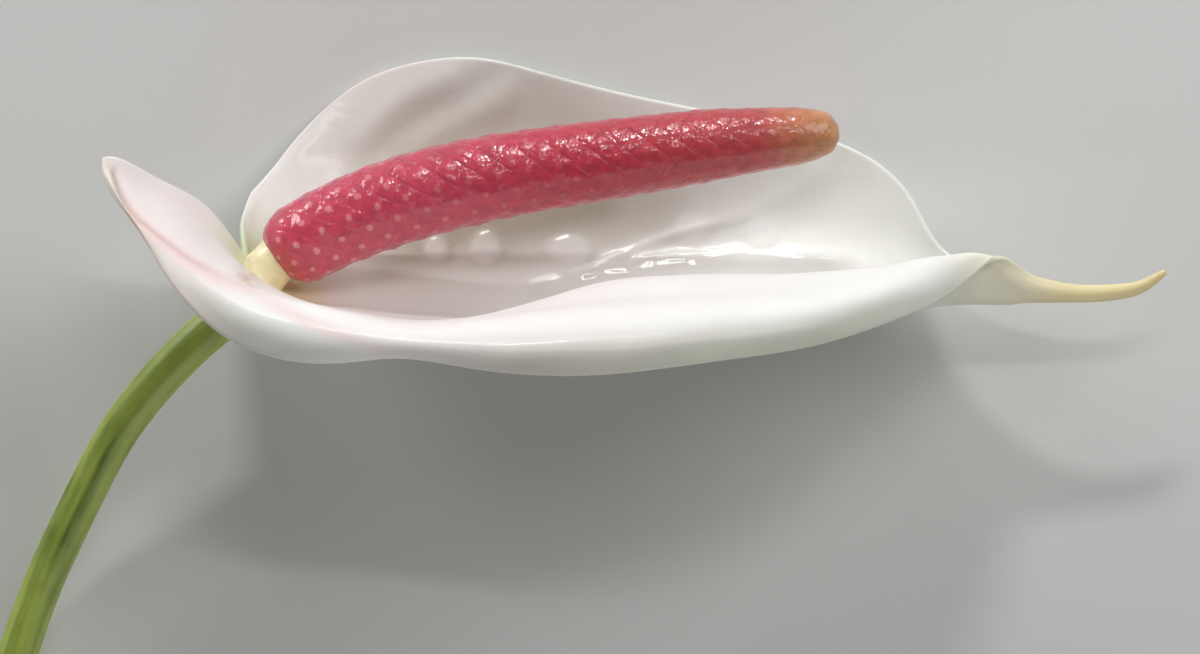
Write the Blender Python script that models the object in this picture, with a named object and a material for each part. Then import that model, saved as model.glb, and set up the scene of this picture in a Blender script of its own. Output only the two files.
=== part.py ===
"""A cut anthurium bloom, laid on its side: spathe, spadix, stipe and peduncle.

Run with: blender --background --python part.py

The bloom is drawn in its growing frame, in millimetres: X runs from the base of the
spathe to its tip, Y runs across the bloom to its far side, and Z is up. The whole
bloom is then laid over, so that its far side faces down and rests on the floor.
"""

import math

import bmesh
import bpy
import numpy as np
from mathutils import Euler, Vector
from mathutils.bvhtree import BVHTree

MM = 0.001

# Driving dimensions, in mm.
BLADE_THICKNESS = 0.9
MARGIN_THICKNESS = 0.7
MIDRIB_RELIEF = 0.7
MIDRIB_WIDTH = 1.4
STEM_RADIUS = 2.5
STEM_FLARE = 0.4
SPADIX_RADIUS = 5.25
FLORETS_AROUND = 8
FLORET_PITCH = 0.362
FLORET_RELIEF = 0.2
GROOVE_WIDTH = 0.35
STIGMA_WIDTH = 1.0
STIGMA_RELIEF = 0.3
STEM_FLARE_SHARE = 0.06
STEM_RINGS = 24
STEM_SIDES = 14
STIPE_SIDES = 16
SEAT_GAP = 0.42
SEAT_REACH = 8.0

# How the bloom lies: its turn about X, Y and Z, and where its base then is, in mm.
LAID_TURN_DEG = (-89.46, 0.86, 0.0)
LAID_AT = (-34.85, 29.07, 15.03)

# Points below are given as (x, y, z) with x and z as they appear from in front of the
# middle of the bloom, at this distance. Each is moved out along its line of sight to
# its own depth y.
EYE_DISTANCE = 700.0
EYE_X, EYE_Z = 42.75, -6.9

# Rails of the spathe, from its base edge to its tip. The near margin hangs down beside
# a crest, and the far one stands up.
NEAR_MARGIN = [
    (-19.5, -13.4, 14.1), (-19.2, -15.9, 11.6), (-15.6, -21.1, 6.1), (-12.1, -25.4, 0.5),
    (-8.9, -28.4, -3.9), (-3.0, -30.0, -8.8), (7.0, -31.8, -11.4), (16.4, -32.8, -10.8),
    (27.0, -33.2, -12.1), (42.0, -33.2, -12.9), (57.0, -31.0, -11.2), (70.0, -25.5, -9.1),
    (79.0, -18.5, -6.2), (85.5, -10.4, -3.1), (90.2, -6.0, 0.3), (93.6, -2.9, 1.7),
    (96.2, -1.3, -0.4), (99.5, -0.9, -2.0),
]
NEAR_FLAP = [
    (-18.8, -12.9, 14.2), (-18.5, -15.2, 11.5), (-15.1, -20.5, 6.6), (-11.9, -24.9, 1.8),
    (-8.3, -28.1, -1.8), (-2.4, -30.8, -5.9), (6.4, -32.6, -8.4), (16.4, -33.4, -8.9),
    (27.0, -33.8, -9.7), (42.0, -33.6, -9.6), (57.0, -31.2, -8.2), (70.0, -25.8, -6.5),
    (79.0, -18.5, -3.8), (85.6, -10.8, -1.2), (90.2, -5.1, 1.6), (93.6, -2.5, 1.0),
    (96.2, -1.6, -0.9), (99.5, -1.05, -2.3),
]
NEAR_CREST = [
    (-17.5, -12.1, 14.0), (-17.4, -14.3, 11.0), (-14.2, -19.5, 6.6), (-11.1, -23.6, 2.8),
    (-7.2, -26.8, -0.2), (-1.8, -28.8, -3.1), (6.0, -30.2, -5.1), (16.4, -30.8, -6.9),
    (27.0, -30.4, -7.0), (42.0, -29.6, -5.8), (57.0, -27.4, -4.9), (70.0, -22.8, -3.7),
    (79.0, -16.2, -1.6), (85.6, -9.6, 0.7), (90.2, -3.9, 1.9), (93.6, -2.3, 0.1),
    (96.2, -1.65, -1.5), (99.5, -1.0, -2.6),
]
NEAR_SHELF = [
    (-12.8, -9.3, 11.5), (-12.4, -11.5, 9.1), (-9.9, -14.7, 6.0), (-7.0, -17.1, 3.3),
    (-4.0, -18.9, 0.7), (0.2, -20.4, -2.1), (6.8, -21.6, -4.6), (15.8, -22.3, -6.3),
    (27.0, -22.5, -6.4), (42.0, -22.0, -3.9), (57.0, -20.0, -2.8), (70.0, -16.4, -1.7),
    (79.0, -12.2, -0.1), (85.7, -7.4, 1.6), (90.3, -3.1, 0.7), (93.6, -2.05, -1.0),
    (96.2, -1.45, -2.2), (99.5, -0.8, -2.9),
]
NEAR_HUMP = [
    (-7.0, -4.6, 8.1), (-6.2, -6.4, 5.7), (-4.9, -8.3, 3.5), (-3.1, -9.8, 1.4),
    (-0.9, -11.0, -0.5), (2.2, -12.2, -2.6), (7.4, -13.2, -4.5), (15.2, -14.0, -6.0),
    (26.8, -14.6, -6.1), (42.0, -14.4, -2.0), (57.0, -12.8, -0.8), (70.0, -10.2, -0.6),
    (79.0, -7.8, 0.2), (85.8, -4.8, 0.8), (90.3, -2.1, -1.3), (93.7, -1.35, -2.4),
    (96.2, -0.9, -2.9), (99.5, -0.45, -3.1),
]
MIDRIB = [
    (-1.8, 0.2, 1.7), (-1.7, 0.0, 0.8), (-1.4, 0.0, -0.1), (-0.7, 0.0, -1.1),
    (0.7, 0.0, -2.2), (3.5, 0.0, -3.3), (8.0, 0.0, -4.3), (15.0, 0.0, -5.5),
    (26.5, 0.0, -7.0), (41.0, 0.0, -7.9), (55.0, 0.0, -7.6), (68.0, 0.0, -6.6),
    (77.0, 0.0, -5.3), (84.5, 0.0, -4.0), (90.0, 0.0, -3.7), (93.7, 0.0, -3.7),
    (96.2, 0.0, -3.5), (99.5, 0.0, -3.2),
]
FAR_FLOOR = [
    (-2.1, 4.9, 4.6), (-1.4, 5.8, 4.2), (-0.2, 6.6, 3.8), (1.5, 7.2, 3.3),
    (3.9, 7.6, 2.6), (7.8, 7.8, 1.6), (12.8, 8.0, 0.3), (20.2, 8.0, -1.4),
    (31.5, 8.0, -3.1), (45.4, 7.9, -4.2), (58.6, 7.5, -4.1), (70.4, 6.6, -3.6),
    (78.4, 5.0, -3.1), (84.9, 3.2, -2.6), (90.1, 1.8, -2.6), (93.8, 1.2, -2.8),
    (96.2, 0.9, -2.9), (99.5, 0.6, -3.0),
]
FAR_WALL = [
    (-1.9, 7.7, 7.2), (-0.3, 9.0, 8.3), (1.8, 10.3, 9.6), (4.6, 11.4, 10.9),
    (8.5, 12.2, 11.8), (13.8, 12.7, 12.0), (20.0, 13.0, 11.4), (27.2, 13.1, 10.1),
    (38.0, 13.1, 8.3), (50.6, 13.5, 6.8), (62.8, 13.6, 5.8), (73.0, 11.6, 4.8),
    (80.1, 8.3, 3.2), (85.3, 5.2, 0.6), (90.2, 2.9, -0.9), (93.8, 1.9, -1.6),
    (96.2, 1.4, -2.1), (99.5, 0.95, -2.6),
]
FAR_MARGIN = [
    (-0.9, 9.6, 9.8), (1.5, 11.4, 12.5), (4.1, 12.9, 15.7), (7.7, 13.9, 19.7),
    (12.7, 14.7, 23.6), (19.5, 14.3, 26.1), (27.0, 13.3, 26.8), (35.0, 12.5, 25.1),
    (45.0, 12.0, 22.5), (56.0, 11.8, 20.2), (66.8, 11.6, 17.8), (75.3, 10.2, 14.9),
    (81.5, 8.0, 9.6), (85.5, 5.4, 3.0), (90.3, 3.3, 0.6), (93.9, 2.1, -0.5),
    (96.2, 1.3, -1.2), (99.5, 0.95, -2.1),
]
RAILS = [
    NEAR_MARGIN, NEAR_FLAP, NEAR_CREST, NEAR_SHELF, NEAR_HUMP, MIDRIB, FAR_FLOOR, FAR_WALL,
    FAR_MARGIN,
]
BLADE_STATIONS = len(MIDRIB)
MIDRIB_RAIL = RAILS.index(MIDRIB)
MIDRIB_FROM, MIDRIB_TO = 3, 13

# The solid tail: its axis (x, z), its half height and its half width. It takes over
# from the blade between its first station, which is the blade's third from last, and
# the blade's last. The outer face of the blade wraps round it, and the inner face
# closes the narrow strip on top between the two margins.
TAIL = [
    (93.6, -0.94, 3.16, 2.4), (96.2, -1.86, 2.14, 1.75), (99.5, -2.43, 1.47, 1.3),
    (103.5, -2.67, 1.18, 1.05), (107.6, -2.43, 1.07, 0.95), (110.4, -1.8, 0.86, 0.8),
    (112.3, -0.7, 0.64, 0.62), (113.4, 0.05, 0.38, 0.36),
]
TAIL_STARTS = BLADE_STATIONS - 3
TAIL_WRAP_DEG = 150.0
TAIL_STRIP, TAIL_GROOVE = 0.75, 0.08
RAIL_SPREAD = [-1.0, -0.83, -0.66, -0.46, -0.24, 0.0, 0.34, 0.67, 1.0]
STEPS_ALONG = 3
STEPS_ACROSS = 3

# Axis of the spadix, and its girth as a share of SPADIX_RADIUS at shares of its length.
SPADIX_AXIS = [
    (2.1, 0.0, 1.2), (3.9, 0.0, 2.55), (7.9, 0.0, 4.9), (14.7, -0.1, 7.85), (21.7, -0.3, 10.05),
    (29.0, -0.5, 11.7), (38.7, -0.8, 13.3), (48.5, -1.0, 14.7), (58.3, -1.2, 16.05),
    (66.0, -1.3, 16.85), (72.6, -1.4, 17.5),
]
SPADIX_GIRTH = [
    (0.0, 0.4), (0.012, 0.62), (0.034, 0.88), (0.07, 0.97), (0.12, 1.0), (0.24, 1.03),
    (0.37, 1.02), (0.475, 0.99), (0.576, 0.96), (0.678, 0.92), (0.746, 0.885), (0.814, 0.82),
    (0.881, 0.74), (0.915, 0.7), (0.949, 0.635), (0.975, 0.53), (0.992, 0.36), (1.0, 0.16),
]

# The stipe, from the blade to the spadix, and its radii at shares of its length.
STIPE_AXIS = [(0.2, 0.0, -1.2), (1.1, 0.0, 0.2), (1.9, 0.0, 1.0)]
STIPE_RADII = [(0.0, 3.0), (1.0, 2.6)]

# Line of the peduncle, from the blade to its cut end.
STEM_LINE = [
    (0.2, 0.2, -2.2), (-5.8, 0.5, -7.0), (-10.5, 1.3, -11.5), (-14.9, 2.6, -16.5),
    (-18.1, 4.0, -21.0), (-20.8, 5.5, -26.0), (-23.9, 7.2, -32.3), (-26.8, 8.7, -38.8),
    (-30.3, 10.2, -48.5), (-34.0, 11.3, -60.0), (-37.2, 12.0, -72.0), (-39.8, 12.4, -84.0),
]


def placed(points):
    """Points given as they appear from in front, moved to where they are."""
    points = np.array(points, dtype=float)
    eye = np.array([EYE_X, 0.0, EYE_Z])
    reach = 1 + points[..., 1:2] / EYE_DISTANCE
    return (points - eye) * np.concatenate([reach, np.ones_like(reach), reach], axis=-1) + eye


def spline(knots, values, at):
    """A natural cubic spline through values, one for each knot, read at the given places."""
    gap = np.diff(knots)
    count = len(knots)
    stiffness = np.eye(count)
    load = np.zeros(values.shape)
    for i in range(1, count - 1):
        stiffness[i, i - 1:i + 2] = gap[i - 1], 2 * (gap[i - 1] + gap[i]), gap[i]
        rise = (values[i + 1] - values[i]) / gap[i]
        load[i] = 6 * (rise - (values[i] - values[i - 1]) / gap[i - 1])
    bend = np.linalg.solve(stiffness, load)
    left = np.clip(np.searchsorted(knots, at) - 1, 0, count - 2)
    span = gap[left][:, None]
    b = (at - knots[left])[:, None] / span
    a = 1 - b
    curved = ((a**3 - a) * bend[left] + (b**3 - b) * bend[left + 1]) * span**2 / 6
    return a * values[left] + b * values[left + 1] + curved


def chord_knots(points):
    """Knots for rows of points, spaced by the mean distance from one row to the next."""
    steps = np.linalg.norm(np.diff(points, axis=0), axis=-1).mean(axis=1)
    return np.concatenate([[0.0], np.cumsum(steps)])


def smooth_step(value, low, high):
    """Rises smoothly from 0 to 1 as value goes from low to high."""
    share = np.clip((value - low) / (high - low), 0.0, 1.0)
    return share * share * (3 - 2 * share)


def counts(last, steps):
    """Station or rail counts from 0 to last, with each whole count cut into equal steps."""
    return np.arange(last * steps + 1) / steps


def drawn(points, steps):
    """Rows of points joined by smooth curves, with each gap between rows cut into steps."""
    knots = chord_knots(points)
    at = np.interp(counts(len(points) - 1, steps), np.arange(len(points)), knots)
    return spline(knots, points.reshape(len(points), -1), at).reshape(len(at), -1, 3)


def blade_sheet():
    """The middle sheet of the blade, over stations by rails."""
    by_station = drawn(placed(RAILS).transpose(1, 0, 2), STEPS_ALONG)
    return drawn(by_station.transpose(1, 0, 2), STEPS_ACROSS).transpose(1, 0, 2)


def blade_sheets():
    """The outer and the inner face of the blade, a sheet thinner towards its margins."""
    sheet = blade_sheet()
    normal = np.cross(np.gradient(sheet, axis=1), np.gradient(sheet, axis=0))
    normal /= np.linalg.norm(normal, axis=-1, keepdims=True)
    across = counts(len(RAILS) - 1, STEPS_ACROSS)
    side = np.abs(2 * across / across[-1] - 1)
    half = (BLADE_THICKNESS + (MARGIN_THICKNESS - BLADE_THICKNESS) * side)[:, None] / 2
    stations = counts(BLADE_STATIONS - 1, STEPS_ALONG)[:, None]
    ribbed = smooth_step(stations, MIDRIB_FROM, MIDRIB_FROM + 2)
    ribbed = ribbed - smooth_step(stations, MIDRIB_TO - 3, MIDRIB_TO)
    from_midrib = np.linalg.norm(sheet - sheet[:, [MIDRIB_RAIL * STEPS_ACROSS]], axis=-1)
    midrib = MIDRIB_RELIEF * ribbed * np.exp(-((from_midrib / MIDRIB_WIDTH) ** 2))
    return sheet + normal * (half + midrib[..., None]), sheet - normal * half


def tail_sheets():
    """The outer and the inner face of the solid tail: an oval in section, and its top strip."""
    axis = np.array([(x, 0.0, z) for x, z, _, _ in TAIL])
    sizes = np.array([(height, width, 0.0) for _, _, height, width in TAIL])
    middle, size = drawn(np.stack([placed(axis), sizes], axis=1), STEPS_ALONG).transpose(1, 0, 2)
    ahead = np.gradient(middle, axis=0)
    ahead /= np.linalg.norm(ahead, axis=1, keepdims=True)
    up = np.cross(ahead, (0.0, 1.0, 0.0))[:, None] * size[:, None, 0:1]
    aside = np.array((0.0, 1.0, 0.0)) * size[:, None, 1:2]
    rails = counts(len(RAILS) - 1, STEPS_ACROSS)
    spread = np.interp(rails, np.arange(len(RAILS)), RAIL_SPREAD)[None, :, None]
    wrap = math.radians(TAIL_WRAP_DEG)
    outer = middle[:, None] + aside * np.sin(wrap * spread) - up * np.cos(wrap * spread)
    groove = 1 - TAIL_GROOVE * (1 - spread**2)
    strip = aside * math.sin(wrap) * TAIL_STRIP * spread - up * math.cos(wrap) * groove
    return outer, middle[:, None] + strip


def spathe_sheets():
    """The outer and the inner face of the whole spathe, blade and tail."""
    starts, ends = TAIL_STARTS * STEPS_ALONG, (BLADE_STATIONS - 1) * STEPS_ALONG
    share = smooth_step(np.arange(starts, ends + 1), starts, ends)[:, None, None]
    sheets = []
    for blade, tail in zip(blade_sheets(), tail_sheets()):
        shared = blade[starts:] * (1 - share) + tail[:ends + 1 - starts] * share
        sheets.append(np.concatenate([blade[:starts], shared, tail[ends + 1 - starts:]]))
    return sheets


def new_object(name, bm, finish):
    """An object of the finished bmesh, with its faces pointing out."""
    bmesh.ops.recalc_face_normals(bm, faces=bm.faces)
    mesh = bpy.data.meshes.new(name)
    bm.to_mesh(mesh)
    bm.free()
    mesh.materials.append(finish)
    mesh.shade_smooth()
    obj = bpy.data.objects.new(name, mesh)
    bpy.context.scene.collection.objects.link(obj)
    return obj


def material(name, colour, roughness):
    made = bpy.data.materials.new(name)
    made.use_nodes = True
    shader = made.node_tree.nodes["Principled BSDF"]
    shader.inputs["Base Color"].default_value = (*colour, 1.0)
    shader.inputs["Roughness"].default_value = roughness
    return made


def spathe(finish):
    """The bract: a thin blade between two faces split alike, drawn out into a solid tail."""
    bm = bmesh.new()
    for sheet in spathe_sheets():
        rows, columns = sheet.shape[:2]
        grid = bmesh.ops.create_grid(bm, x_segments=columns - 1, y_segments=rows - 1)
        for vert, point in zip(grid["verts"], sheet.reshape(-1, 3)):
            vert.co = Vector(point) * MM
    bmesh.ops.triangulate(bm, faces=bm.faces, quad_method="FIXED")
    rim = [edge for edge in bm.edges if edge.is_boundary]
    bmesh.ops.bridge_loops(bm, edges=rim)
    return new_object("spathe", bm, finish)


def frames_along(line, shares):
    """Points at shares of a smooth line's length, two directions across it, and its length."""
    line = placed(line)
    knots = chord_knots(line[:, None, :])
    at = np.asarray(shares) * knots[-1]
    ahead = spline(knots, line, at + 0.01 * knots[-1])
    behind = spline(knots, line, at - 0.01 * knots[-1])
    along = (ahead - behind) / np.linalg.norm(ahead - behind, axis=1, keepdims=True)
    over = np.cross(along, (0.0, 1.0, 0.0))
    over /= np.linalg.norm(over, axis=1, keepdims=True)
    return spline(knots, line, at), over, np.cross(along, over), knots[-1]


def tube(line, shares, radii, sides):
    """A closed round body along a line, and the vertices of its two flat ends."""
    bm = bmesh.new()
    rings = []
    shares = [0.0, *shares, 1.0]
    radii = [radii[0] / 2, *radii, radii[-1] / 2]
    points, over, side, _ = frames_along(line, shares)
    for centre, up, out, radius in zip(points, over, side, radii):
        turns = [2 * math.pi * k / sides for k in range(sides)]
        places = [centre + radius * (math.cos(a) * up + math.sin(a) * out) for a in turns]
        rings.append([bm.verts.new(Vector(place) * MM) for place in places])
    for first, second in zip(rings, rings[1:]):
        for k in range(sides):
            bm.faces.new((first[k - 1], first[k], second[k], second[k - 1]))
    ends = []
    for inner, outer, centre in ((rings[0], rings[1], points[0]), (rings[-1], rings[-2], points[-1])):
        middle = bm.verts.new(Vector(centre) * MM)
        for k in range(sides):
            bm.faces.new((inner[k - 1], inner[k], middle))
        ends.append([middle, *inner, *outer])
    return bm, ends


def seat_end(end, carrier, heading):
    """Moves the vertices of an end along heading, each to a seat gap short of its carrier."""
    tree = BVHTree.FromPolygons(
        [vert.co for vert in carrier.data.vertices],
        [face.vertices for face in carrier.data.polygons],
    )
    for vert in end:
        start = vert.co - heading * SEAT_REACH * MM
        hit, normal, _, _ = tree.ray_cast(start, heading)
        vert.co = hit - heading * (SEAT_GAP * MM / abs(normal.dot(heading)))


def peduncle(blade, finish):
    """The flower stalk, a little thicker where it meets the spathe and cut square below."""
    shares = [(i / STEM_RINGS) ** 1.2 for i in range(STEM_RINGS + 1)]
    radii = [STEM_RADIUS + STEM_FLARE * math.exp(-share / STEM_FLARE_SHARE) for share in shares]
    bm, (top, _) = tube(STEM_LINE, shares, radii, STEM_SIDES)
    start, following = placed(STEM_LINE)[:2]
    seat_end(top, blade, Vector(start - following).normalized())
    return new_object("peduncle", bm, finish)


def stipe(blade, spike, finish):
    """The short pale neck that carries the spadix on the base of the spathe."""
    shares, radii = zip(*STIPE_RADII)
    bm, (bottom, top) = tube(STIPE_AXIS, shares, radii, STIPE_SIDES)
    start, *_, end = placed(STIPE_AXIS)
    heading = Vector(end - start).normalized()
    seat_end(bottom, blade, -heading)
    seat_end(top, spike, heading)
    return new_object("stipe", bm, finish)


def girth(shares):
    places, widths = zip(*SPADIX_GIRTH)
    return SPADIX_RADIUS * np.interp(shares, places, widths)


def floret_rows():
    """Shares of the spadix's length where its rows of floret corners sit."""
    length = frames_along(SPADIX_AXIS, [0.0])[3]
    rows = [0.0]
    while rows[-1] < 1.0:
        rows.append(rows[-1] + FLORET_PITCH * float(girth(rows[-1])) / length)
    return np.array(rows) / rows[-1]


def spadix(finish):
    """The fleshy spike, covered in four-sided florets, each with a raised stigma."""
    rows = floret_rows()
    points, over, side, _ = frames_along(SPADIX_AXIS, rows)
    bm = bmesh.new()
    corners = []
    for row, (centre, up, out, radius) in enumerate(zip(points, over, side, girth(rows))):
        turns = [2 * math.pi * (k + row % 2 / 2) / FLORETS_AROUND for k in range(FLORETS_AROUND)]
        places = [centre + radius * (math.cos(a) * up + math.sin(a) * out) for a in turns]
        corners.append([bm.verts.new(Vector(place) * MM) for place in places])
    florets = []
    for row in range(1, len(rows) - 1):
        before, here, after = corners[row - 1:row + 2]
        for k in range(FLORETS_AROUND):
            facing = (k + row % 2) % FLORETS_AROUND
            following = (k + 1) % FLORETS_AROUND
            face = bm.faces.new((before[facing], here[k], after[facing], here[following]))
            florets.append((face, float(girth(rows[row])) / SPADIX_RADIUS))
    for end, inner, odd in ((corners[0], corners[1], 0), (corners[-1], corners[-2], len(rows) - 1)):
        for k in range(FLORETS_AROUND):
            facing = (k + odd % 2) % FLORETS_AROUND
            bm.faces.new((end[k], end[(k + 1) % FLORETS_AROUND], inner[facing]))
        bm.faces.new(end)
    bmesh.ops.recalc_face_normals(bm, faces=bm.faces)
    for face, share in florets:
        relief = share ** 2 * MM
        bmesh.ops.inset_individual(
            bm, faces=[face], thickness=GROOVE_WIDTH * relief, depth=FLORET_RELIEF * relief
        )
        bmesh.ops.inset_individual(bm, faces=[face], thickness=STIGMA_WIDTH * relief, depth=0.0)
        lift = face.normal * STIGMA_RELIEF * relief
        peak = bmesh.ops.poke(bm, faces=[face])["verts"][0]
        peak.co += lift
    return new_object("spadix", bm, finish)


def main():
    for obj in list(bpy.data.objects):
        bpy.data.objects.remove(obj)
    blade = spathe(material("waxy_white_bract", (0.87, 0.85, 0.80), 0.35))
    spike = spadix(material("rose_spadix", (0.62, 0.10, 0.14), 0.3))
    neck = stipe(blade, spike, material("cream_stipe", (0.80, 0.70, 0.42), 0.4))
    stalk = peduncle(blade, material("green_stalk", (0.24, 0.35, 0.07), 0.45))
    flower = bpy.data.objects.new("flower", None)
    bpy.context.scene.collection.objects.link(flower)
    for piece in (blade, spike, neck, stalk):
        piece.parent = flower
    flower.rotation_euler = Euler([math.radians(turn) for turn in LAID_TURN_DEG])
    flower.location = Vector(LAID_AT) * MM


main()
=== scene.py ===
"""A cut anthurium bloom lying on a pale studio floor: spathe, spadix, stipe and stalk.

The pieces are drawn in the bloom's growing frame, in millimetres: X runs from the base of
the spathe to its tip, Y across the bloom to its far side, and Z is up. Each finished mesh
is then laid over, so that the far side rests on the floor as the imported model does.
"""

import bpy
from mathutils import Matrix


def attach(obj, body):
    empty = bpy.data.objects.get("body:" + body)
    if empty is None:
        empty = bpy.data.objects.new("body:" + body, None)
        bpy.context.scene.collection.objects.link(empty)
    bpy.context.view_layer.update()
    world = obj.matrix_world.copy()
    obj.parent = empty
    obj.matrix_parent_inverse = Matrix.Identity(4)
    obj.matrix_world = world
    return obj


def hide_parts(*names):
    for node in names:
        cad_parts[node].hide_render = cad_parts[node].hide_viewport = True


bl_info = {
    "name": "Anthurium Bloom",
    "version": (1, 0, 0),
    "blender": (4, 5, 0),
    "location": "3D View > Sidebar > Anthurium",
    "description": "Builds a cut anthurium bloom and the floor and light it is shown in",
    "category": "Add Mesh",
}

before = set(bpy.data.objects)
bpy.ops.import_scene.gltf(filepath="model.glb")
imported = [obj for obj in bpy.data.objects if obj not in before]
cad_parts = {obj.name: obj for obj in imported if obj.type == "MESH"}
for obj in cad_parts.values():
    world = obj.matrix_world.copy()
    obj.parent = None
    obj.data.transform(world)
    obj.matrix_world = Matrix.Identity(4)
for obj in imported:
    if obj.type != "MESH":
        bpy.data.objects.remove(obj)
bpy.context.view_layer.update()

import math

import bmesh
import bpy
import numpy as np
from bpy.props import FloatProperty, FloatVectorProperty, PointerProperty
from bpy.types import Operator, Panel, PropertyGroup
from mathutils import Euler, Matrix, Vector, noise
from mathutils.bvhtree import BVHTree

MM = 0.001
UV_MAP = "UVMap"

# How the bloom lies: its turn about X, Y and Z, and where its base then is, in mm.
LAID_TURN_DEG = (-89.46, 0.86, 0.0)
LAID_AT = (-34.85, 29.07, 15.03)

# The reference view: the eye's distance in mm from the middle of the bloom, the point it
# looks at, and the width in mm that it takes in there.
EYE_DISTANCE = 700.0
EYE_X, EYE_Z = 42.75, -6.9
VIEW_WIDTH = 150.0
SENSOR_WIDTH = 36.0

# Marks on the bloom are given in pixels of the reference view, which has this many to
# the millimetre and shows the base of the spathe's midrib at this pixel.
PIXELS_PER_MM = 8.0
BASE_PIXEL = (258.0, 272.0)

# Rails of the spathe, from its base edge to its tip, as (x, y, z): x and z as they appear
# from the eye, y the depth. The near margin hangs down beside a crest, and the far one
# stands up.
NEAR_MARGIN = [
    (-19.5, -13.4, 14.1), (-19.2, -15.9, 11.6), (-15.6, -21.1, 6.1), (-12.1, -25.4, 0.5),
    (-8.9, -28.4, -3.9), (-3.0, -30.0, -8.8), (7.0, -31.8, -11.4), (16.4, -32.8, -10.8),
    (27.0, -33.2, -12.1), (42.0, -33.2, -12.9), (57.0, -31.0, -11.2), (70.0, -25.5, -9.1),
    (79.0, -18.5, -6.2), (85.5, -10.4, -3.1), (90.2, -6.0, 0.3), (93.6, -2.9, 1.7),
    (96.2, -1.3, -0.4), (99.5, -0.9, -2.0),
]
NEAR_FLAP = [
    (-18.8, -12.9, 14.2), (-18.5, -15.2, 11.5), (-15.1, -20.5, 6.6), (-11.9, -24.9, 1.8),
    (-8.3, -28.1, -1.8), (-2.4, -30.8, -5.9), (6.4, -32.6, -8.4), (16.4, -33.4, -8.9),
    (27.0, -33.8, -9.7), (42.0, -33.6, -9.6), (57.0, -31.2, -8.2), (70.0, -25.8, -6.5),
    (79.0, -18.5, -3.8), (85.6, -10.8, -1.2), (90.2, -5.1, 1.6), (93.6, -2.5, 1.0),
    (96.2, -1.6, -0.9), (99.5, -1.05, -2.3),
]
NEAR_CREST = [
    (-17.5, -12.1, 14.0), (-17.4, -14.3, 11.0), (-14.2, -19.5, 6.6), (-11.1, -23.6, 2.8),
    (-7.2, -26.8, -0.2), (-1.8, -28.8, -3.1), (6.0, -30.2, -5.1), (16.4, -30.8, -6.9),
    (27.0, -30.4, -7.0), (42.0, -29.6, -5.8), (57.0, -27.4, -4.9), (70.0, -22.8, -3.7),
    (79.0, -16.2, -1.6), (85.6, -9.6, 0.7), (90.2, -3.9, 1.9), (93.6, -2.3, 0.1),
    (96.2, -1.65, -1.5), (99.5, -1.0, -2.6),
]
NEAR_SHELF = [
    (-12.8, -9.3, 11.5), (-12.4, -11.5, 9.1), (-9.9, -14.7, 6.0), (-7.0, -17.1, 3.3),
    (-4.0, -18.9, 0.7), (0.2, -20.4, -2.1), (6.8, -21.6, -4.6), (15.8, -22.3, -6.3),
    (27.0, -22.5, -6.4), (42.0, -22.0, -3.9), (57.0, -20.0, -2.8), (70.0, -16.4, -1.7),
    (79.0, -12.2, -0.1), (85.7, -7.4, 1.6), (90.3, -3.1, 0.7), (93.6, -2.05, -1.0),
    (96.2, -1.45, -2.2), (99.5, -0.8, -2.9),
]
NEAR_HUMP = [
    (-7.0, -4.6, 8.1), (-6.2, -6.4, 5.7), (-4.9, -8.3, 3.5), (-3.1, -9.8, 1.4),
    (-0.9, -11.0, -0.5), (2.2, -12.2, -2.6), (7.4, -13.2, -4.5), (15.2, -14.0, -6.0),
    (26.8, -14.6, -6.1), (42.0, -14.4, -2.0), (57.0, -12.8, -0.8), (70.0, -10.2, -0.6),
    (79.0, -7.8, 0.2), (85.8, -4.8, 0.8), (90.3, -2.1, -1.3), (93.7, -1.35, -2.4),
    (96.2, -0.9, -2.9), (99.5, -0.45, -3.1),
]
MIDRIB = [
    (-1.8, 0.2, 1.7), (-1.7, 0.0, 0.8), (-1.4, 0.0, -0.1), (-0.7, 0.0, -1.1),
    (0.7, 0.0, -2.2), (3.5, 0.0, -3.3), (8.0, 0.0, -4.3), (15.0, 0.0, -5.5),
    (26.5, 0.0, -7.0), (41.0, 0.0, -7.9), (55.0, 0.0, -7.6), (68.0, 0.0, -6.6),
    (77.0, 0.0, -5.3), (84.5, 0.0, -4.0), (90.0, 0.0, -3.7), (93.7, 0.0, -3.7),
    (96.2, 0.0, -3.5), (99.5, 0.0, -3.2),
]
FAR_FLOOR = [
    (-2.1, 4.9, 4.6), (-1.4, 5.8, 4.2), (-0.2, 6.6, 3.8), (1.5, 7.2, 3.3),
    (3.9, 7.6, 2.6), (7.8, 7.8, 1.6), (12.8, 8.0, 0.3), (20.2, 8.0, -1.4),
    (31.5, 8.0, -3.1), (45.4, 7.9, -4.2), (58.6, 7.5, -4.1), (70.4, 6.6, -3.6),
    (78.4, 5.0, -3.1), (84.9, 3.2, -2.6), (90.1, 1.8, -2.6), (93.8, 1.2, -2.8),
    (96.2, 0.9, -2.9), (99.5, 0.6, -3.0),
]
FAR_WALL = [
    (-1.9, 7.7, 7.2), (-0.3, 9.0, 8.3), (1.8, 10.3, 9.6), (4.6, 11.4, 10.9),
    (8.5, 12.2, 11.8), (13.8, 12.7, 12.0), (20.0, 13.0, 11.4), (27.2, 13.1, 10.1),
    (38.0, 13.1, 8.3), (50.6, 13.5, 6.8), (62.8, 13.6, 5.8), (73.0, 11.6, 4.8),
    (80.1, 8.3, 3.2), (85.3, 5.2, 0.6), (90.2, 2.9, -0.9), (93.8, 1.9, -1.6),
    (96.2, 1.4, -2.1), (99.5, 0.95, -2.6),
]
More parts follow.
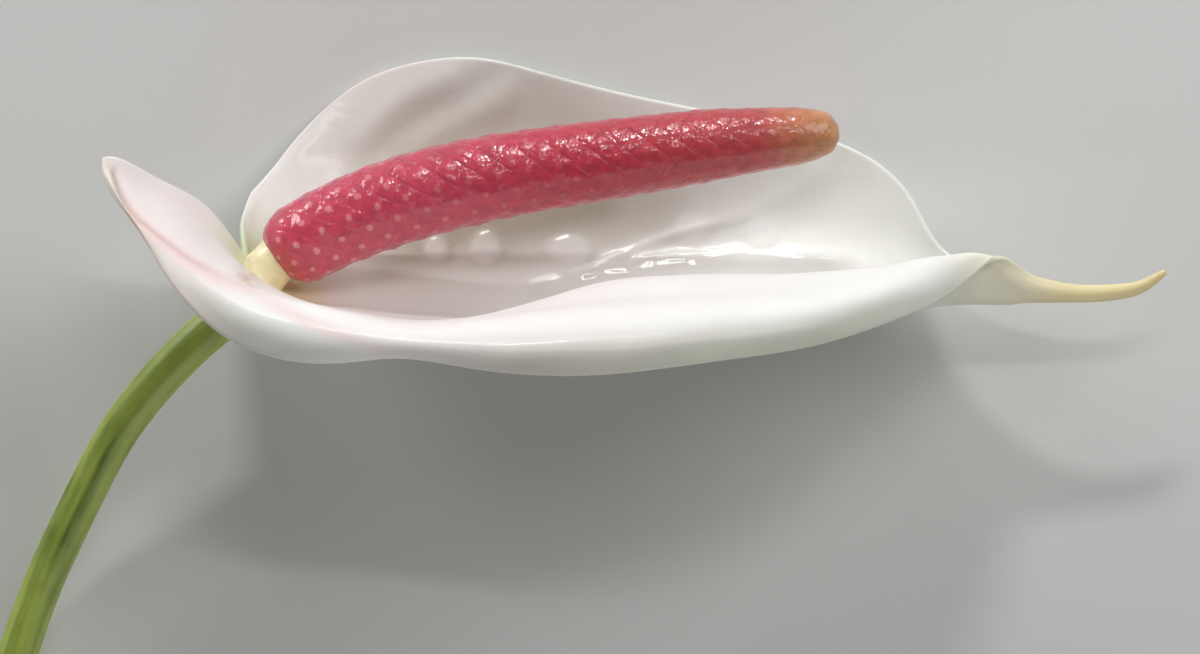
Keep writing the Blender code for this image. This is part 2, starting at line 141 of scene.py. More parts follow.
FAR_MARGIN = [
    (-0.9, 9.6, 9.8), (1.5, 11.4, 12.5), (4.1, 12.9, 15.7), (7.7, 13.9, 19.7),
    (12.7, 14.7, 23.6), (19.5, 14.3, 26.1), (27.0, 13.3, 26.8), (35.0, 12.5, 25.1),
    (45.0, 12.0, 22.5), (56.0, 11.8, 20.2), (66.8, 11.6, 17.8), (75.3, 10.2, 14.9),
    (81.5, 8.0, 9.6), (85.5, 5.4, 3.0), (90.3, 3.3, 0.6), (93.9, 2.1, -0.5),
    (96.2, 1.3, -1.2), (99.5, 0.95, -2.1),
]
RAILS = [
    NEAR_MARGIN, NEAR_FLAP, NEAR_CREST, NEAR_SHELF, NEAR_HUMP, MIDRIB, FAR_FLOOR, FAR_WALL,
    FAR_MARGIN,
]
RAIL_GAPS = len(RAILS) - 1
BLADE_STATIONS = len(MIDRIB)
MIDRIB_RAIL = RAILS.index(MIDRIB)
# The midrib stands out underneath between two stations, so high and so wide in mm.
MIDRIB_FROM, MIDRIB_TO = 3, 13
MIDRIB_RELIEF, MIDRIB_WIDTH = 0.7, 1.4

# The solid tail: its axis (x, z), its half height and its half width. It takes over from
# the blade between its first station and the blade's last.
TAIL = [
    (93.6, -0.94, 3.16, 2.4), (96.2, -1.86, 2.14, 1.75), (99.5, -2.43, 1.47, 1.3),
    (103.5, -2.67, 1.18, 1.05), (107.6, -2.43, 1.07, 0.95), (110.4, -1.8, 0.86, 0.8),
    (112.3, -0.7, 0.64, 0.62), (113.4, 0.05, 0.38, 0.36),
]
TAIL_STARTS = BLADE_STATIONS - 3
# How far round the tail its outer face wraps, how wide and how hollow its inner strip is, as
# shares, and where each rail runs across both.
TAIL_WRAP_DEG = 150.0
TAIL_STRIP, TAIL_GROOVE = 0.75, 0.08
RAIL_SPREAD = [-1.0, -0.83, -0.66, -0.46, -0.24, 0.0, 0.34, 0.67, 1.0]

# How finely the spathe is drawn: steps from each station and each rail to the next, and
# further rows beside each margin, in rails, that round its edge off over EDGE_ROUND mm.
TAIL_STEPS = 12
STATION_STEPS = [10] * 6 + [17] * 8 + [TAIL_STEPS] * 3
RAIL_STEPS = [9, 9, 9, 9, 18, 26, 26, 11]
EDGE_ROWS = [0.006, 0.018, 0.035]
EDGE_ROUND = 0.4
EDGE_LEFT = 0.35

# Axis of the spadix, and its girth as a share of its radius at shares of its length.
SPADIX_AXIS = [
    (2.1, 0.0, 1.2), (3.9, 0.0, 2.55), (7.9, 0.0, 4.9), (14.7, -0.1, 7.85), (21.7, -0.3, 10.05),
    (29.0, -0.5, 11.7), (38.7, -0.8, 13.3), (48.5, -1.0, 14.7), (58.3, -1.2, 16.05),
    (66.0, -1.3, 16.85), (72.6, -1.4, 17.5),
]
SPADIX_GIRTH = [
    (0.0, 0.42), (0.012, 0.68), (0.034, 0.9), (0.07, 0.975), (0.12, 1.0), (0.24, 1.03),
    (0.37, 1.02), (0.475, 0.99), (0.576, 0.96), (0.678, 0.92), (0.746, 0.885), (0.814, 0.82),
    (0.881, 0.74), (0.915, 0.7), (0.949, 0.635), (0.975, 0.53), (0.992, 0.36), (1.0, 0.16),
]
# Florets in a turn, the distance from a row to the next as a share of the radius, and how
# finely they are drawn. Points closer than the seam's gap in mm are joined.
FLORETS_AROUND, FLORET_PITCH = 8, 0.362
STEPS_PER_FLORET, STEPS_PER_ROW = 18, 8
SEAM_GAP = 0.0001

# The stipe, from the blade to the spadix, and its radii in mm at both ends.
STIPE_AXIS = [(0.2, 0.0, -1.2), (1.1, 0.0, 0.2), (1.9, 0.0, 1.0)]
STIPE_RADII = (3.6, 2.9)
# Its wrinkles in mm, how finely it is drawn, and the powers by which it rises and narrows.
NECK_WRINKLE, NECK_SPACING = 0.16, 1.8
NECK_SIDES, NECK_RINGS = 72, 32
NECK_RISE, NECK_NARROWING = 1.7, 2.5

# Line of the stalk, from the blade to its cut end.
STEM_LINE = [
    (0.2, 0.2, -2.2), (-5.8, 0.5, -7.0), (-10.5, 1.3, -11.5), (-14.9, 2.6, -16.5),
    (-18.1, 4.0, -21.0), (-20.8, 5.5, -26.0), (-23.9, 7.2, -32.3), (-26.8, 8.7, -38.8),
    (-30.3, 10.2, -48.5), (-34.0, 11.3, -60.0), (-37.2, 12.0, -72.0), (-39.8, 12.4, -84.0),
]
# The stalk's flare below the blade, its unevenness, its ribs, and the width and depth in mm of
# the two steps of its cut end.
STEM_FLARE, STEM_FLARE_SHARE = 0.4, 0.06
STEM_UNEVEN, STEM_RIB, STEM_RIBS = 0.05, 0.025, 9
STEM_SIDES, STEM_RINGS = 48, 160
CUT_RIM, CUT_PITH = (0.35, -0.05), (1.0, -0.12)
# How deep the stalk and the neck are seated in the pieces that carry them, and from how far
# off their seats are looked for, in mm.
SEAT_DEPTH, SEAT_REACH = 0.35, 8.0


def linear(code):
    """The linear colour of an sRGB hex code such as #A1B2C3."""
    channels = [int(code[i:i + 2], 16) / 255 for i in (1, 3, 5)]
    return [c / 12.92 if c <= 0.04045 else ((c + 0.055) / 1.055) ** 2.4 for c in channels]


def colour(name, description, code):
    """A colour that a user can change, with an sRGB hex code as its default."""
    return FloatVectorProperty(
        name=name, description=description, subtype="COLOR", size=3, min=0.0, max=1.0,
        default=linear(code),
    )


def length_mm(name, description, default):
    """A length in millimetres that a user can change."""
    return FloatProperty(name=name, description=description, default=default, min=0.0, precision=3)


class SpatheSettings(PropertyGroup):
    """Sizes and colours of the white bract."""

    thickness: length_mm("Thickness (mm)", "Thickness of the blade at its midrib", 0.9)
    margin: length_mm("Margin (mm)", "Thickness of the blade beside its margins", 0.7)
    white: colour("White", "The waxy white of the blade", "#F1F1EF")
    blush: colour("Blush", "Pink of the lobes, the crest and the margins", "#E9B4B6")
    green: colour("Green", "Green tinge of the base and the underside", "#CAD6B2")
    cream: colour("Cream", "Yellow cream round the stipe and of the tail", "#EFE0AC")
    tan: colour("Tan", "The tail's ripe tip", "#E3D09C")
    # Painted shade: grey laid round and under the spadix, in the lobe's crease, on the near flap and in
    # the notch.
    painted_shade: colour("Thin", "Where the blade is thin and lets light through, along the spadix", "#B4AEA1")
    drop: colour("Blister", "The pale blisters on the far side", "#F7F7F4")


class SpadixSettings(PropertyGroup):
    """Sizes and colours of the fleshy spike."""

    radius: length_mm("Radius (mm)", "Radius of the spadix at its middle", 5.25)
    relief: length_mm("Relief (mm)", "Height of a floret over the groove round it", 0.07)
    rose: colour("Rose", "The young florets near the base", "#C6465C")
    red: colour("Red", "The florets in the middle", "#BE394B")
    brick: colour("Brick", "The florets that ripen towards the tip", "#BC4A4C")
    tan: colour("Tan", "The oldest florets at the tip", "#CB9062")
    stigma: colour("Stigma", "The pale dot in the middle of a floret", "#E6A39F")
    crack: colour("Crack", "The line between two florets", "#7A1626")


class StalkSettings(PropertyGroup):
    """Sizes and colours of the green stalk and the cream neck above it."""

    radius: length_mm("Radius (mm)", "Radius of the stalk", 2.5)
    green: colour("Green", "The stalk's skin", "#ACBE58")
    dark_green: colour("Dark green", "Streaks on the stalk's skin", "#5E7428")
    pith: colour("Pith", "The stalk's cut end", "#C9CF94")
    cream: colour("Cream", "The neck that carries the spadix", "#F0E4BC")


class StageSettings(PropertyGroup):
    """The floor and the light."""

    floor: colour("Floor", "The floor's pale matt board", "#DEDEDC")
    power: FloatProperty(
        name="Light", description="Power of all the soft boxes together", default=13.2, min=0.0,
        unit="POWER",
    )


def placed(points):
    """Points given as they appear from the eye, moved to where they are."""
    points = np.array(points, dtype=float)
    eye = np.array([EYE_X, 0.0, EYE_Z])
    reach = 1 + points[..., 1:2] / EYE_DISTANCE
    return (points - eye) * np.concatenate([reach, np.ones_like(reach), reach], axis=-1) + eye


def seen(points):
    """Where points appear from the eye, as (x, z) in mm at the depth of the midrib."""
    eye = np.array([EYE_X, EYE_Z])
    return (points[..., ::2] - eye) / (1 + points[..., 1:2] / EYE_DISTANCE) + eye


def marks(pixels):
    """Pixels of the reference view as (x, z) in mm."""
    pixels = np.array(pixels, dtype=float)
    x, z = pixels[..., 0] - BASE_PIXEL[0], BASE_PIXEL[1] - pixels[..., 1]
    return np.stack([x, z], axis=-1) / PIXELS_PER_MM


def spline(knots, values, at):
    """A natural cubic spline through values, one for each knot, read at the given places."""
    gap = np.diff(knots)
    count = len(knots)
    stiffness = np.eye(count)
    load = np.zeros(values.shape)
    for i in range(1, count - 1):
        stiffness[i, i - 1:i + 2] = gap[i - 1], 2 * (gap[i - 1] + gap[i]), gap[i]
        rise = (values[i + 1] - values[i]) / gap[i]
        load[i] = 6 * (rise - (values[i] - values[i - 1]) / gap[i - 1])
    bend = np.linalg.solve(stiffness, load)
    left = np.clip(np.searchsorted(knots, at) - 1, 0, count - 2)
    span = gap[left][:, None]
    b = (at - knots[left])[:, None] / span
    a = 1 - b
    curved = ((a**3 - a) * bend[left] + (b**3 - b) * bend[left + 1]) * span**2 / 6
    return a * values[left] + b * values[left + 1] + curved


def chord_knots(points):
    """Knots for rows of points, spaced by the mean distance from one row to the next."""
    steps = np.linalg.norm(np.diff(points, axis=0), axis=-1).mean(axis=1)
    return np.concatenate([[0.0], np.cumsum(steps)])


def smooth_step(value, low, high):
    """Rises smoothly from 0 to 1 as value goes from low to high."""
    share = np.clip((value - low) / (high - low), 0.0, 1.0)
    return share * share * (3 - 2 * share)


def falling(value, low, high):
    """Falls smoothly from 1 to 0 as value goes from low to high."""
    return 1 - smooth_step(value, low, high)


def bell(value, width):
    """Falls smoothly from 1 at 0 towards 0 a little past width."""
    return np.exp(-((value / width) ** 2))


def drawn(points, counts):
    """Rows of points joined by smooth curves, read at counts of rows."""
    knots = chord_knots(points)
    at = np.interp(counts, np.arange(len(points)), knots)
    return spline(knots, points.reshape(len(points), -1), at).reshape(len(at), -1, 3)


def line_distance(places, line):
    """How far places are from a line of points, and how far along it, as a share."""
    nearest = np.full(places.shape[:-1], np.inf)
    along = np.zeros(places.shape[:-1])
    for k, (start, end) in enumerate(zip(line, line[1:])):
        ahead = end - start
        share = np.clip((places - start) @ ahead / (ahead @ ahead), 0.0, 1.0)
        distance = np.linalg.norm(places - start - share[..., None] * ahead, axis=-1)
        along = np.where(distance < nearest, (k + share) / (len(line) - 1), along)
        nearest = np.minimum(distance, nearest)
    return nearest, along


def frames_along(line, shares):
    """Points at shares of a smooth line's length, two directions across it, and its length."""
    line = placed(line)
    knots = chord_knots(line[:, None, :])
    at = np.asarray(shares) * knots[-1]
    ahead = spline(knots, line, at + 0.01 * knots[-1])
    behind = spline(knots, line, at - 0.01 * knots[-1])
    along = (ahead - behind) / np.linalg.norm(ahead - behind, axis=1, keepdims=True)
    over = np.cross(along, (0.0, 1.0, 0.0))
    over /= np.linalg.norm(over, axis=1, keepdims=True)
    return spline(knots, line, at), over, np.cross(along, over), knots[-1]


def laid():
    """The turn and the move that lay the growing bloom on the floor, in metres."""
    turn = Euler([math.radians(angle) for angle in LAID_TURN_DEG]).to_matrix().to_4x4()
    return Matrix.Translation(Vector(LAID_AT) * MM) @ turn


def add_grid(bm, points, uv, layers):
    """A grid of faces through rows of points in mm, with a UV map and values at its points."""
    rows, columns = points.shape[:2]
    if not bm.loops.layers.uv:
        bm.loops.layers.uv.new(UV_MAP)
    for name in layers:
        if name not in bm.verts.layers.float:
            bm.verts.layers.float.new(name)
    grid = bmesh.ops.create_grid(bm, x_segments=columns - 1, y_segments=rows - 1)["verts"]
    number = {vert: i for i, vert in enumerate(grid)}
    for vert, point in zip(grid, points.reshape(-1, 3)):
        vert.co = Vector(point) * MM
    uv_layer = bm.loops.layers.uv.active
    flat_uv = uv.reshape(-1, 2)
    for face in {face for vert in grid for face in vert.link_faces}:
        for loop in face.loops:
            loop[uv_layer].uv = flat_uv[number[loop.vert]]
    for name, values in layers.items():
        layer = bm.verts.layers.float[name]
        for vert, value in zip(grid, values.reshape(-1)):
            vert[layer] = value
    return grid


def finish_piece(bm, name, material):
    """Lays the finished bmesh on the floor as a piece under the root, to stand in for a CAD node."""
    bmesh.ops.recalc_face_normals(bm, faces=bm.faces)
    if bm.calc_volume(signed=True) < 0:
        bmesh.ops.reverse_faces(bm, faces=bm.faces)
    bmesh.ops.transform(bm, matrix=laid(), verts=bm.verts)
    mesh = bpy.data.meshes.new(name)
    bm.to_mesh(mesh)
    bm.free()
    mesh.materials.append(material)
    mesh.shade_smooth()
    piece = bpy.data.objects.new(name, mesh)
    bpy.context.scene.collection.objects.link(piece)
    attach(piece, "root")
    return piece


def add_node(tree, kind, inputs=(), **settings):
    """Adds a node with its settings, and returns its outputs.

    Its inputs are given in order or by name, each as a value or as an output to link to it.
    """
    made = tree.nodes.new(kind)
    for name, value in settings.items():
        setattr(made, name, value)
    given = inputs if isinstance(inputs, dict) else dict(enumerate(inputs))
    for key, value in given.items():
        if isinstance(value, bpy.types.NodeSocket):
            tree.links.new(value, made.inputs[key])
        else:
            made.inputs[key].default_value = value
    return made.outputs


# Sockets of a Mix node that mixes colours: its two colours and its result.
MIX_A, MIX_B, MIX_OUT = 6, 7, 2

# The scale of a pattern on Object coordinates is its clouds to the millimetre over MM.


def new_material(name, sockets):
    """A material with only a Principled shader, with the given values on its sockets."""
    material = bpy.data.materials.new(name)
    material.use_nodes = True
    shader = material.node_tree.nodes["Principled BSDF"]
    for socket, value in sockets.items():
        shader.inputs[socket].default_value = value
    return material, shader


# Marks on the spathe, in pixels of the reference view. A blister has a middle, a width and a
# height, and a wet spot has a reach in mm.
DROPS = [
    (436.5, 250.0, 29.0, 29.0), (486.0, 250.0, 37.0, 37.0), (570.0, 251.0, 50.0, 32.0),
    (691.0, 229.0, 38.0, 38.0), (761.0, 233.0, 36.0, 36.0),
]
RAISED_VEIN = [(588, 272), (630, 252), (670, 237), (706, 227), (740, 218), (790, 192), (830, 165)]
LOBE_GROOVE = [
    (113, 175), (121, 197), (130, 210), (141, 221), (159, 236), (176, 249), (190, 259), (205, 267),
    (222, 277),
]
WET_FOLD = [
    (528, 288), (552, 282), (577, 277), (602, 271), (650, 262), (700, 258), (750, 257), (800, 261),
    (835, 262), (868, 266),
]
CREST_BLUSH = [
    (125, 205), (150, 234), (180, 256), (215, 275), (254, 292), (302, 319), (343, 335),
    (386, 349), (430, 353),
]
WET_SPOTS = [((842, 160), 3.0), ((246, 279), 1.5)]
CRINKLE_SPOT = (244, 277)
# Lines of painted shade: the spadix's shadow round it on the far lobe, and under it.
SHADE_LINE_ROUND_SPADIX = [(395, 150), (430, 130), (540, 115), (640, 190), (560, 225), (430, 238)]
SHADOW_LINE_UNDER_SPADIX = [(380, 268), (450, 236), (520, 222), (600, 205)]
# Gentle folds of the far lobe: the height in mm of each, and its line.
FAR_FOLDS = [
    (-0.3, [(385, 150), (400, 132), (425, 115), (455, 102), (488, 80)]),
    (0.35, [(362, 140), (380, 118), (410, 95), (448, 80)]),
    (0.3, [(420, 150), (440, 132), (470, 120), (505, 100)]),
    (-0.25, [(505, 140), (515, 118), (520, 95), (515, 72)]),
]

# Sizes in mm of the relief: the far folds, the blisters, the raised vein, the lobe's crease and
# the welt beside it, the wet fold, its crumples, the crinkles by the neck and the waves.
FAR_FOLD_WIDTH = 1.6
DROP_HEIGHT = 0.28
VEIN_HEIGHT, VEIN_WIDTH = 0.32, 0.6
GROOVE_DEPTH, GROOVE_WIDTH = 0.6, 0.5
WELT_HEIGHT, WELT_WIDTH, WELT_OFFSET = 0.4, 0.8, (-0.75, -0.75)
FOLD_HEIGHT, FOLD_WIDTH = 0.4, 1.0
CRUMPLE_HEIGHT, CRUMPLE_SPACING = 0.24, 2.2
CRINKLE_HEIGHT, CRINKLE_SPACING, CRINKLE_REACH = 0.22, 0.9, 1.8
WAVE_HEIGHT = 0.1
# The powers by which the vein and the wet fold fade at their ends.
VEIN_ENDS, FOLD_ENDS = 0.5, 0.4

# The most of each tint on parts of the spathe, from 0 to 1.
BLUSH = {"crest": 0.35, "lobe": 0.22, "lobe rim": 0.25, "far rim": 0.3, "flap": 0.08, "far lobe": 0.07}
GREEN = {
    "notch": 0.95, "stalk": 0.5, "underside": 0.25, "apex": 0.08, "lobe margin": 0.25,
    "far half": 0.1, "flap margin": 0.25,
}
CREAM = {"neck": 0.9, "beside neck": 0.5, "apex": 0.35, "tail": 0.6}
# Painted shade: the spadix's shadow on the far lobe and under it, and shade in the crease, on the flap and
# in the notch.
PAINTED_SHADE = {"far lobe": 0.65, "by spadix": 0.4, "crease": 0.8, "flap": 0.55, "notch": 0.3}
DROP_WHITE, DROP_WET = 0.45, 0.16
# How far from their lines some tints reach, in mm.
RIM_REACH, CREST_REACH, CREASE_REACH, WET_REACH = 0.7, 0.9, 0.35, 1.3
# How far the painted shade reaches round the spadix and under it.
SHADE_ROUND_SPADIX_REACH, SHADOW_UNDER_SPADIX_REACH = 7.0, 2.2


def stepped(steps):
    """Counts from 0 up, with the given number of steps from each whole number to the next."""
    parts = [i + np.arange(count) / count for i, count in enumerate(steps)]
    return np.concatenate([*parts, [float(len(steps))]])


def spathe_counts():
    """Counts of stations and of rails at which the spathe is drawn."""
    edge = np.array(EDGE_ROWS)
    return stepped(STATION_STEPS), np.sort(np.concatenate([stepped(RAIL_STEPS), edge, RAIL_GAPS - edge]))


def edge_distance(sheet):
    """How far the points of a sheet are from the nearer of its two margins."""
    near, far = sheet[:, :1], sheet[:, -1:]
    return np.minimum(np.linalg.norm(sheet - near, axis=-1), np.linalg.norm(sheet - far, axis=-1))


def blade_sheets(sizes):
    """The outer and the inner face of the blade, rounded off at its margins."""
    stations, rails = spathe_counts()
    by_station = drawn(placed(RAILS).transpose(1, 0, 2), stations)
    sheet = drawn(by_station.transpose(1, 0, 2), rails).transpose(1, 0, 2)
    normal = np.cross(np.gradient(sheet, axis=1), np.gradient(sheet, axis=0))
    normal /= np.linalg.norm(normal, axis=-1, keepdims=True)
    side = np.abs(2 * rails / rails[-1] - 1)[:, None]
    half = (sizes.thickness + (sizes.margin - sizes.thickness) * side) / 2
    from_edge = edge_distance(sheet)[..., None]
    rounded = np.sqrt(1 - (1 - np.clip(from_edge / EDGE_ROUND, 0.0, 1.0)) ** 2)
    half = half * (EDGE_LEFT + (1 - EDGE_LEFT) * rounded)
    ribbed = smooth_step(stations, MIDRIB_FROM, MIDRIB_FROM + 2)
    ribbed = (ribbed - smooth_step(stations, MIDRIB_TO - 3, MIDRIB_TO))[:, None]
    from_midrib = np.linalg.norm(sheet - sheet[:, [list(rails).index(MIDRIB_RAIL)]], axis=-1)
    midrib = MIDRIB_RELIEF * ribbed * bell(from_midrib, MIDRIB_WIDTH)
    inner = sheet - normal * (half + inner_relief(sheet, rails)[..., None])
    return sheet + normal * (half + midrib[..., None]), inner


def crumples(sheet, spacing):
    """Small uneven folds over a sheet, from about -1 to 1, with folds half as wide on them."""
    places = [Vector(point) / spacing for point in sheet.reshape(-1, 3)]
    flat = [noise.noise(place) + 0.4 * noise.noise(2 * place) for place in places]
    return np.array(flat).reshape(sheet.shape[:-1])


def band(places, pixels, width, shift=(0.0, 0.0)):
    """How close places are to a line of pixels, from 0 to 1, and how far along it, as a share."""
    away, along = line_distance(places, marks(pixels) + shift)
    return bell(away, width), along


def spot(places, middle, reach):
    """Falls from 1 at a middle (x, z) towards 0 a little past its reach in mm."""
    return bell(np.linalg.norm(places - np.array(middle), axis=-1), reach)


def faded(along, power):
    """Falls to 0 at both ends of a line, the faster the higher the power."""
    return np.sin(math.pi * along) ** power


def from_drops(places):
    """For each blister, how far places are from its middle, as a share of its half size."""
    for pixel_x, pixel_y, width, height in DROPS:
        away = (places - marks((pixel_x, pixel_y))) / (width, height)
        yield np.hypot(away[..., 0], away[..., 1]) * 2 * PIXELS_PER_MM


# Places across the spathe are counted in rails: the near margin is 0, the midrib 5, and the
# far margin 8.


def wetness(places, rails):
    """Where the inner face is wet: along the fold in the cup, by the neck and at the far tip."""
    fold, along = band(places, WET_FOLD, WET_REACH)
    wet = fold * faded(along, FOLD_ENDS) * smooth_step(rails, 5.0, 5.3)[None, :]
    for pixel, reach in WET_SPOTS:
        wet = np.maximum(wet, spot(places, marks(pixel), reach))
    return wet


def inner_relief(sheet, rails):
    """Heights in mm on the inner face: blisters, vein, crease, folds, crumples and waves."""
    places = seen(sheet)
    x, z = places[..., 0], places[..., 1]
    far_side = smooth_step(rails, 5.1, 5.6)[None, :]
    near_side = falling(rails, 3.4, 4.2)[None, :]
    inland = smooth_step(rails, 0.1, 0.8) * falling(rails, 7.2, 7.9)
    relief = np.zeros(x.shape)
    for across in from_drops(places):
        relief += DROP_HEIGHT * falling(across, 0.7, 1.1) * far_side
    vein, along = band(places, RAISED_VEIN, VEIN_WIDTH)
    relief += VEIN_HEIGHT * vein * faded(along, VEIN_ENDS) * far_side
    groove, along = band(places, LOBE_GROOVE, GROOVE_WIDTH)
    relief -= GROOVE_DEPTH * groove * np.sqrt(1 - along) * near_side
    welt, along = band(places, LOBE_GROOVE, WELT_WIDTH, WELT_OFFSET)
    relief += WELT_HEIGHT * welt * np.sqrt(1 - along) * near_side
    fold, along = band(places, WET_FOLD, FOLD_WIDTH)
    relief += FOLD_HEIGHT * fold * faded(along, FOLD_ENDS) * far_side
    relief += CRUMPLE_HEIGHT * crumples(sheet, CRUMPLE_SPACING) * wetness(places, rails)
    by_neck = spot(places, marks(CRINKLE_SPOT), CRINKLE_REACH)
    relief += CRINKLE_HEIGHT * crumples(sheet, CRINKLE_SPACING) * by_neck
    for height, line in FAR_FOLDS:
        relief += height * band(places, line, FAR_FOLD_WIDTH)[0] * far_side
    # Waves about 15 mm apart, that wander.
    waves = np.sin(x / 3.1 + 1.3 * np.sin(z / 4.3)) * np.sin(z / 2.3 - x / 8.7)
    return relief + WAVE_HEIGHT * waves * inland


def tail_sheets():
    """The outer and the inner face of the solid tail: an oval in section, and its top strip."""
    counts = stepped([TAIL_STEPS] * (len(TAIL) - 1))
    axis = np.array([(x, 0.0, z) for x, z, _, _ in TAIL])
    sizes = np.array([(height, width, 0.0) for _, _, height, width in TAIL])
    middle, size = drawn(np.stack([placed(axis), sizes], axis=1), counts).transpose(1, 0, 2)
    ahead = np.gradient(middle, axis=0)
    ahead /= np.linalg.norm(ahead, axis=1, keepdims=True)
    up = np.cross(ahead, (0.0, 1.0, 0.0))[:, None] * size[:, None, 0:1]
    aside = np.array((0.0, 1.0, 0.0)) * size[:, None, 1:2]
    spread = np.interp(spathe_counts()[1], np.arange(len(RAILS)), RAIL_SPREAD)[None, :, None]
    wrap = math.radians(TAIL_WRAP_DEG)
    outer = middle[:, None] + aside * np.sin(wrap * spread) - up * np.cos(wrap * spread)
    groove = 1 - TAIL_GROOVE * (1 - spread**2)
    strip = aside * math.sin(wrap) * TAIL_STRIP * spread - up * math.cos(wrap) * groove
    return outer, middle[:, None] + strip


def spathe_sheets(sizes):
    """The outer and the inner face of the whole spathe, blade and tail."""
    ends = len(spathe_counts()[0]) - 1
    starts = ends - (BLADE_STATIONS - 1 - TAIL_STARTS) * TAIL_STEPS
    share = smooth_step(np.arange(starts, ends + 1), starts, ends)[:, None, None]
    sheets = []
    for blade, tail in zip(blade_sheets(sizes), tail_sheets()):
        shared = blade[starts:] * (1 - share) + tail[:ends + 1 - starts] * share
        sheets.append(np.concatenate([blade[:starts], shared, tail[ends + 1 - starts:]]))
    return sheets


def spathe_tints(points, rails, inner):
    """Each tint at the spathe's points, painted shade among them, from 0 to 1, and how wet it is there."""
    places = seen(points)
    x, depth = places[..., 0], points[..., 1]
    rim = bell(edge_distance(points), RIM_REACH)
    near = falling(rails, 3.8, 5.0)[None, :]
    far = 1 - near
    lobe = falling(x, -9.0, 1.0)
    crest, along = band(places, CREST_BLUSH, CREST_REACH)
    blush = BLUSH["crest"] * crest * falling(along, 0.7, 1.0) * near + BLUSH["lobe"] * lobe * near * inner
    blush += BLUSH["lobe rim"] * rim * lobe * near + BLUSH["far rim"] * rim * far * falling(x, 12.0, 26.0)
    blush += BLUSH["flap"] * near * inner * bell(x - 30.0, 22.0)
    blush += BLUSH["far lobe"] * far * inner * falling(x, 15.0, 40.0)
    notch = spot(places, (-1.0, 1.5), 5.0) * bell(depth, 14.0)
    green = GREEN["notch"] * notch + GREEN["underside"] * (1 - inner) + GREEN["far half"] * far * inner
    green += GREEN["stalk"] * (1 - inner) * spot(places, (-3.0, -6.0), 10.0) * bell(depth, 12.0)
    green += GREEN["apex"] * far * spot(places, (84.0, 5.0), 8.0)
    green += GREEN["lobe margin"] * falling(rails, 0.6, 2.0) * falling(x, 2.0, 15.0)
    green += GREEN["flap margin"] * falling(rails, 0.3, 1.6) * smooth_step(x, 15.0, 60.0)
    cream = CREAM["neck"] * spot(places, (1.5, -1.8), 4.2)
    cream += CREAM["beside neck"] * spot(places, (6.0, -2.2), 3.5)
    cream = cream * inner * bell(depth, 9.0)
    cream += CREAM["apex"] * smooth_step(x, 82.0, 94.0) + CREAM["tail"] * smooth_step(x, 92.0, 102.0)
    # Painted shade round and under the spadix, in the lobe's crease, on the turning flap and in the notch.
    painted_shade = PAINTED_SHADE["far lobe"] * band(places, SHADE_LINE_ROUND_SPADIX, SHADE_ROUND_SPADIX_REACH)[0]
    painted_shade += PAINTED_SHADE["by spadix"] * band(places, SHADOW_LINE_UNDER_SPADIX, SHADOW_UNDER_SPADIX_REACH)[0]
    groove, along = band(places, LOBE_GROOVE, CREASE_REACH)
    painted_shade = painted_shade * far * inner + PAINTED_SHADE["crease"] * groove * (1 - along) ** 0.6 * near * inner
    flap = falling(rails, 0.6, 1.9) * smooth_step(x, 12.0, 34.0) * falling(x, 76.0, 88.0)
    painted_shade += PAINTED_SHADE["flap"] * flap + PAINTED_SHADE["notch"] * notch
    wet = wetness(places, rails)
    drop = np.zeros(x.shape)
    for across in from_drops(places):
        drop = np.maximum(drop, DROP_WHITE * falling(across, 0.6, 1.05) * far)
        wet = np.maximum(wet, DROP_WET * bell(across, 1.1) * far)
    return {
        "painted_shade": painted_shade,
        "wet": wet * inner,
        "drop": drop * inner,
        "blush": np.clip(blush, 0.0, 1.0),
        "green": np.clip(green, 0.0, 1.0),
        "cream": np.clip(cream, 0.0, 1.0),
        "tan": smooth_step(x, 103.0, 113.0),
    }


# Weight of the clear coat on the spathe where its skin is dry and waxy, and where it is wet.
DRY_COAT, WET_COAT = 0.12, 1.0


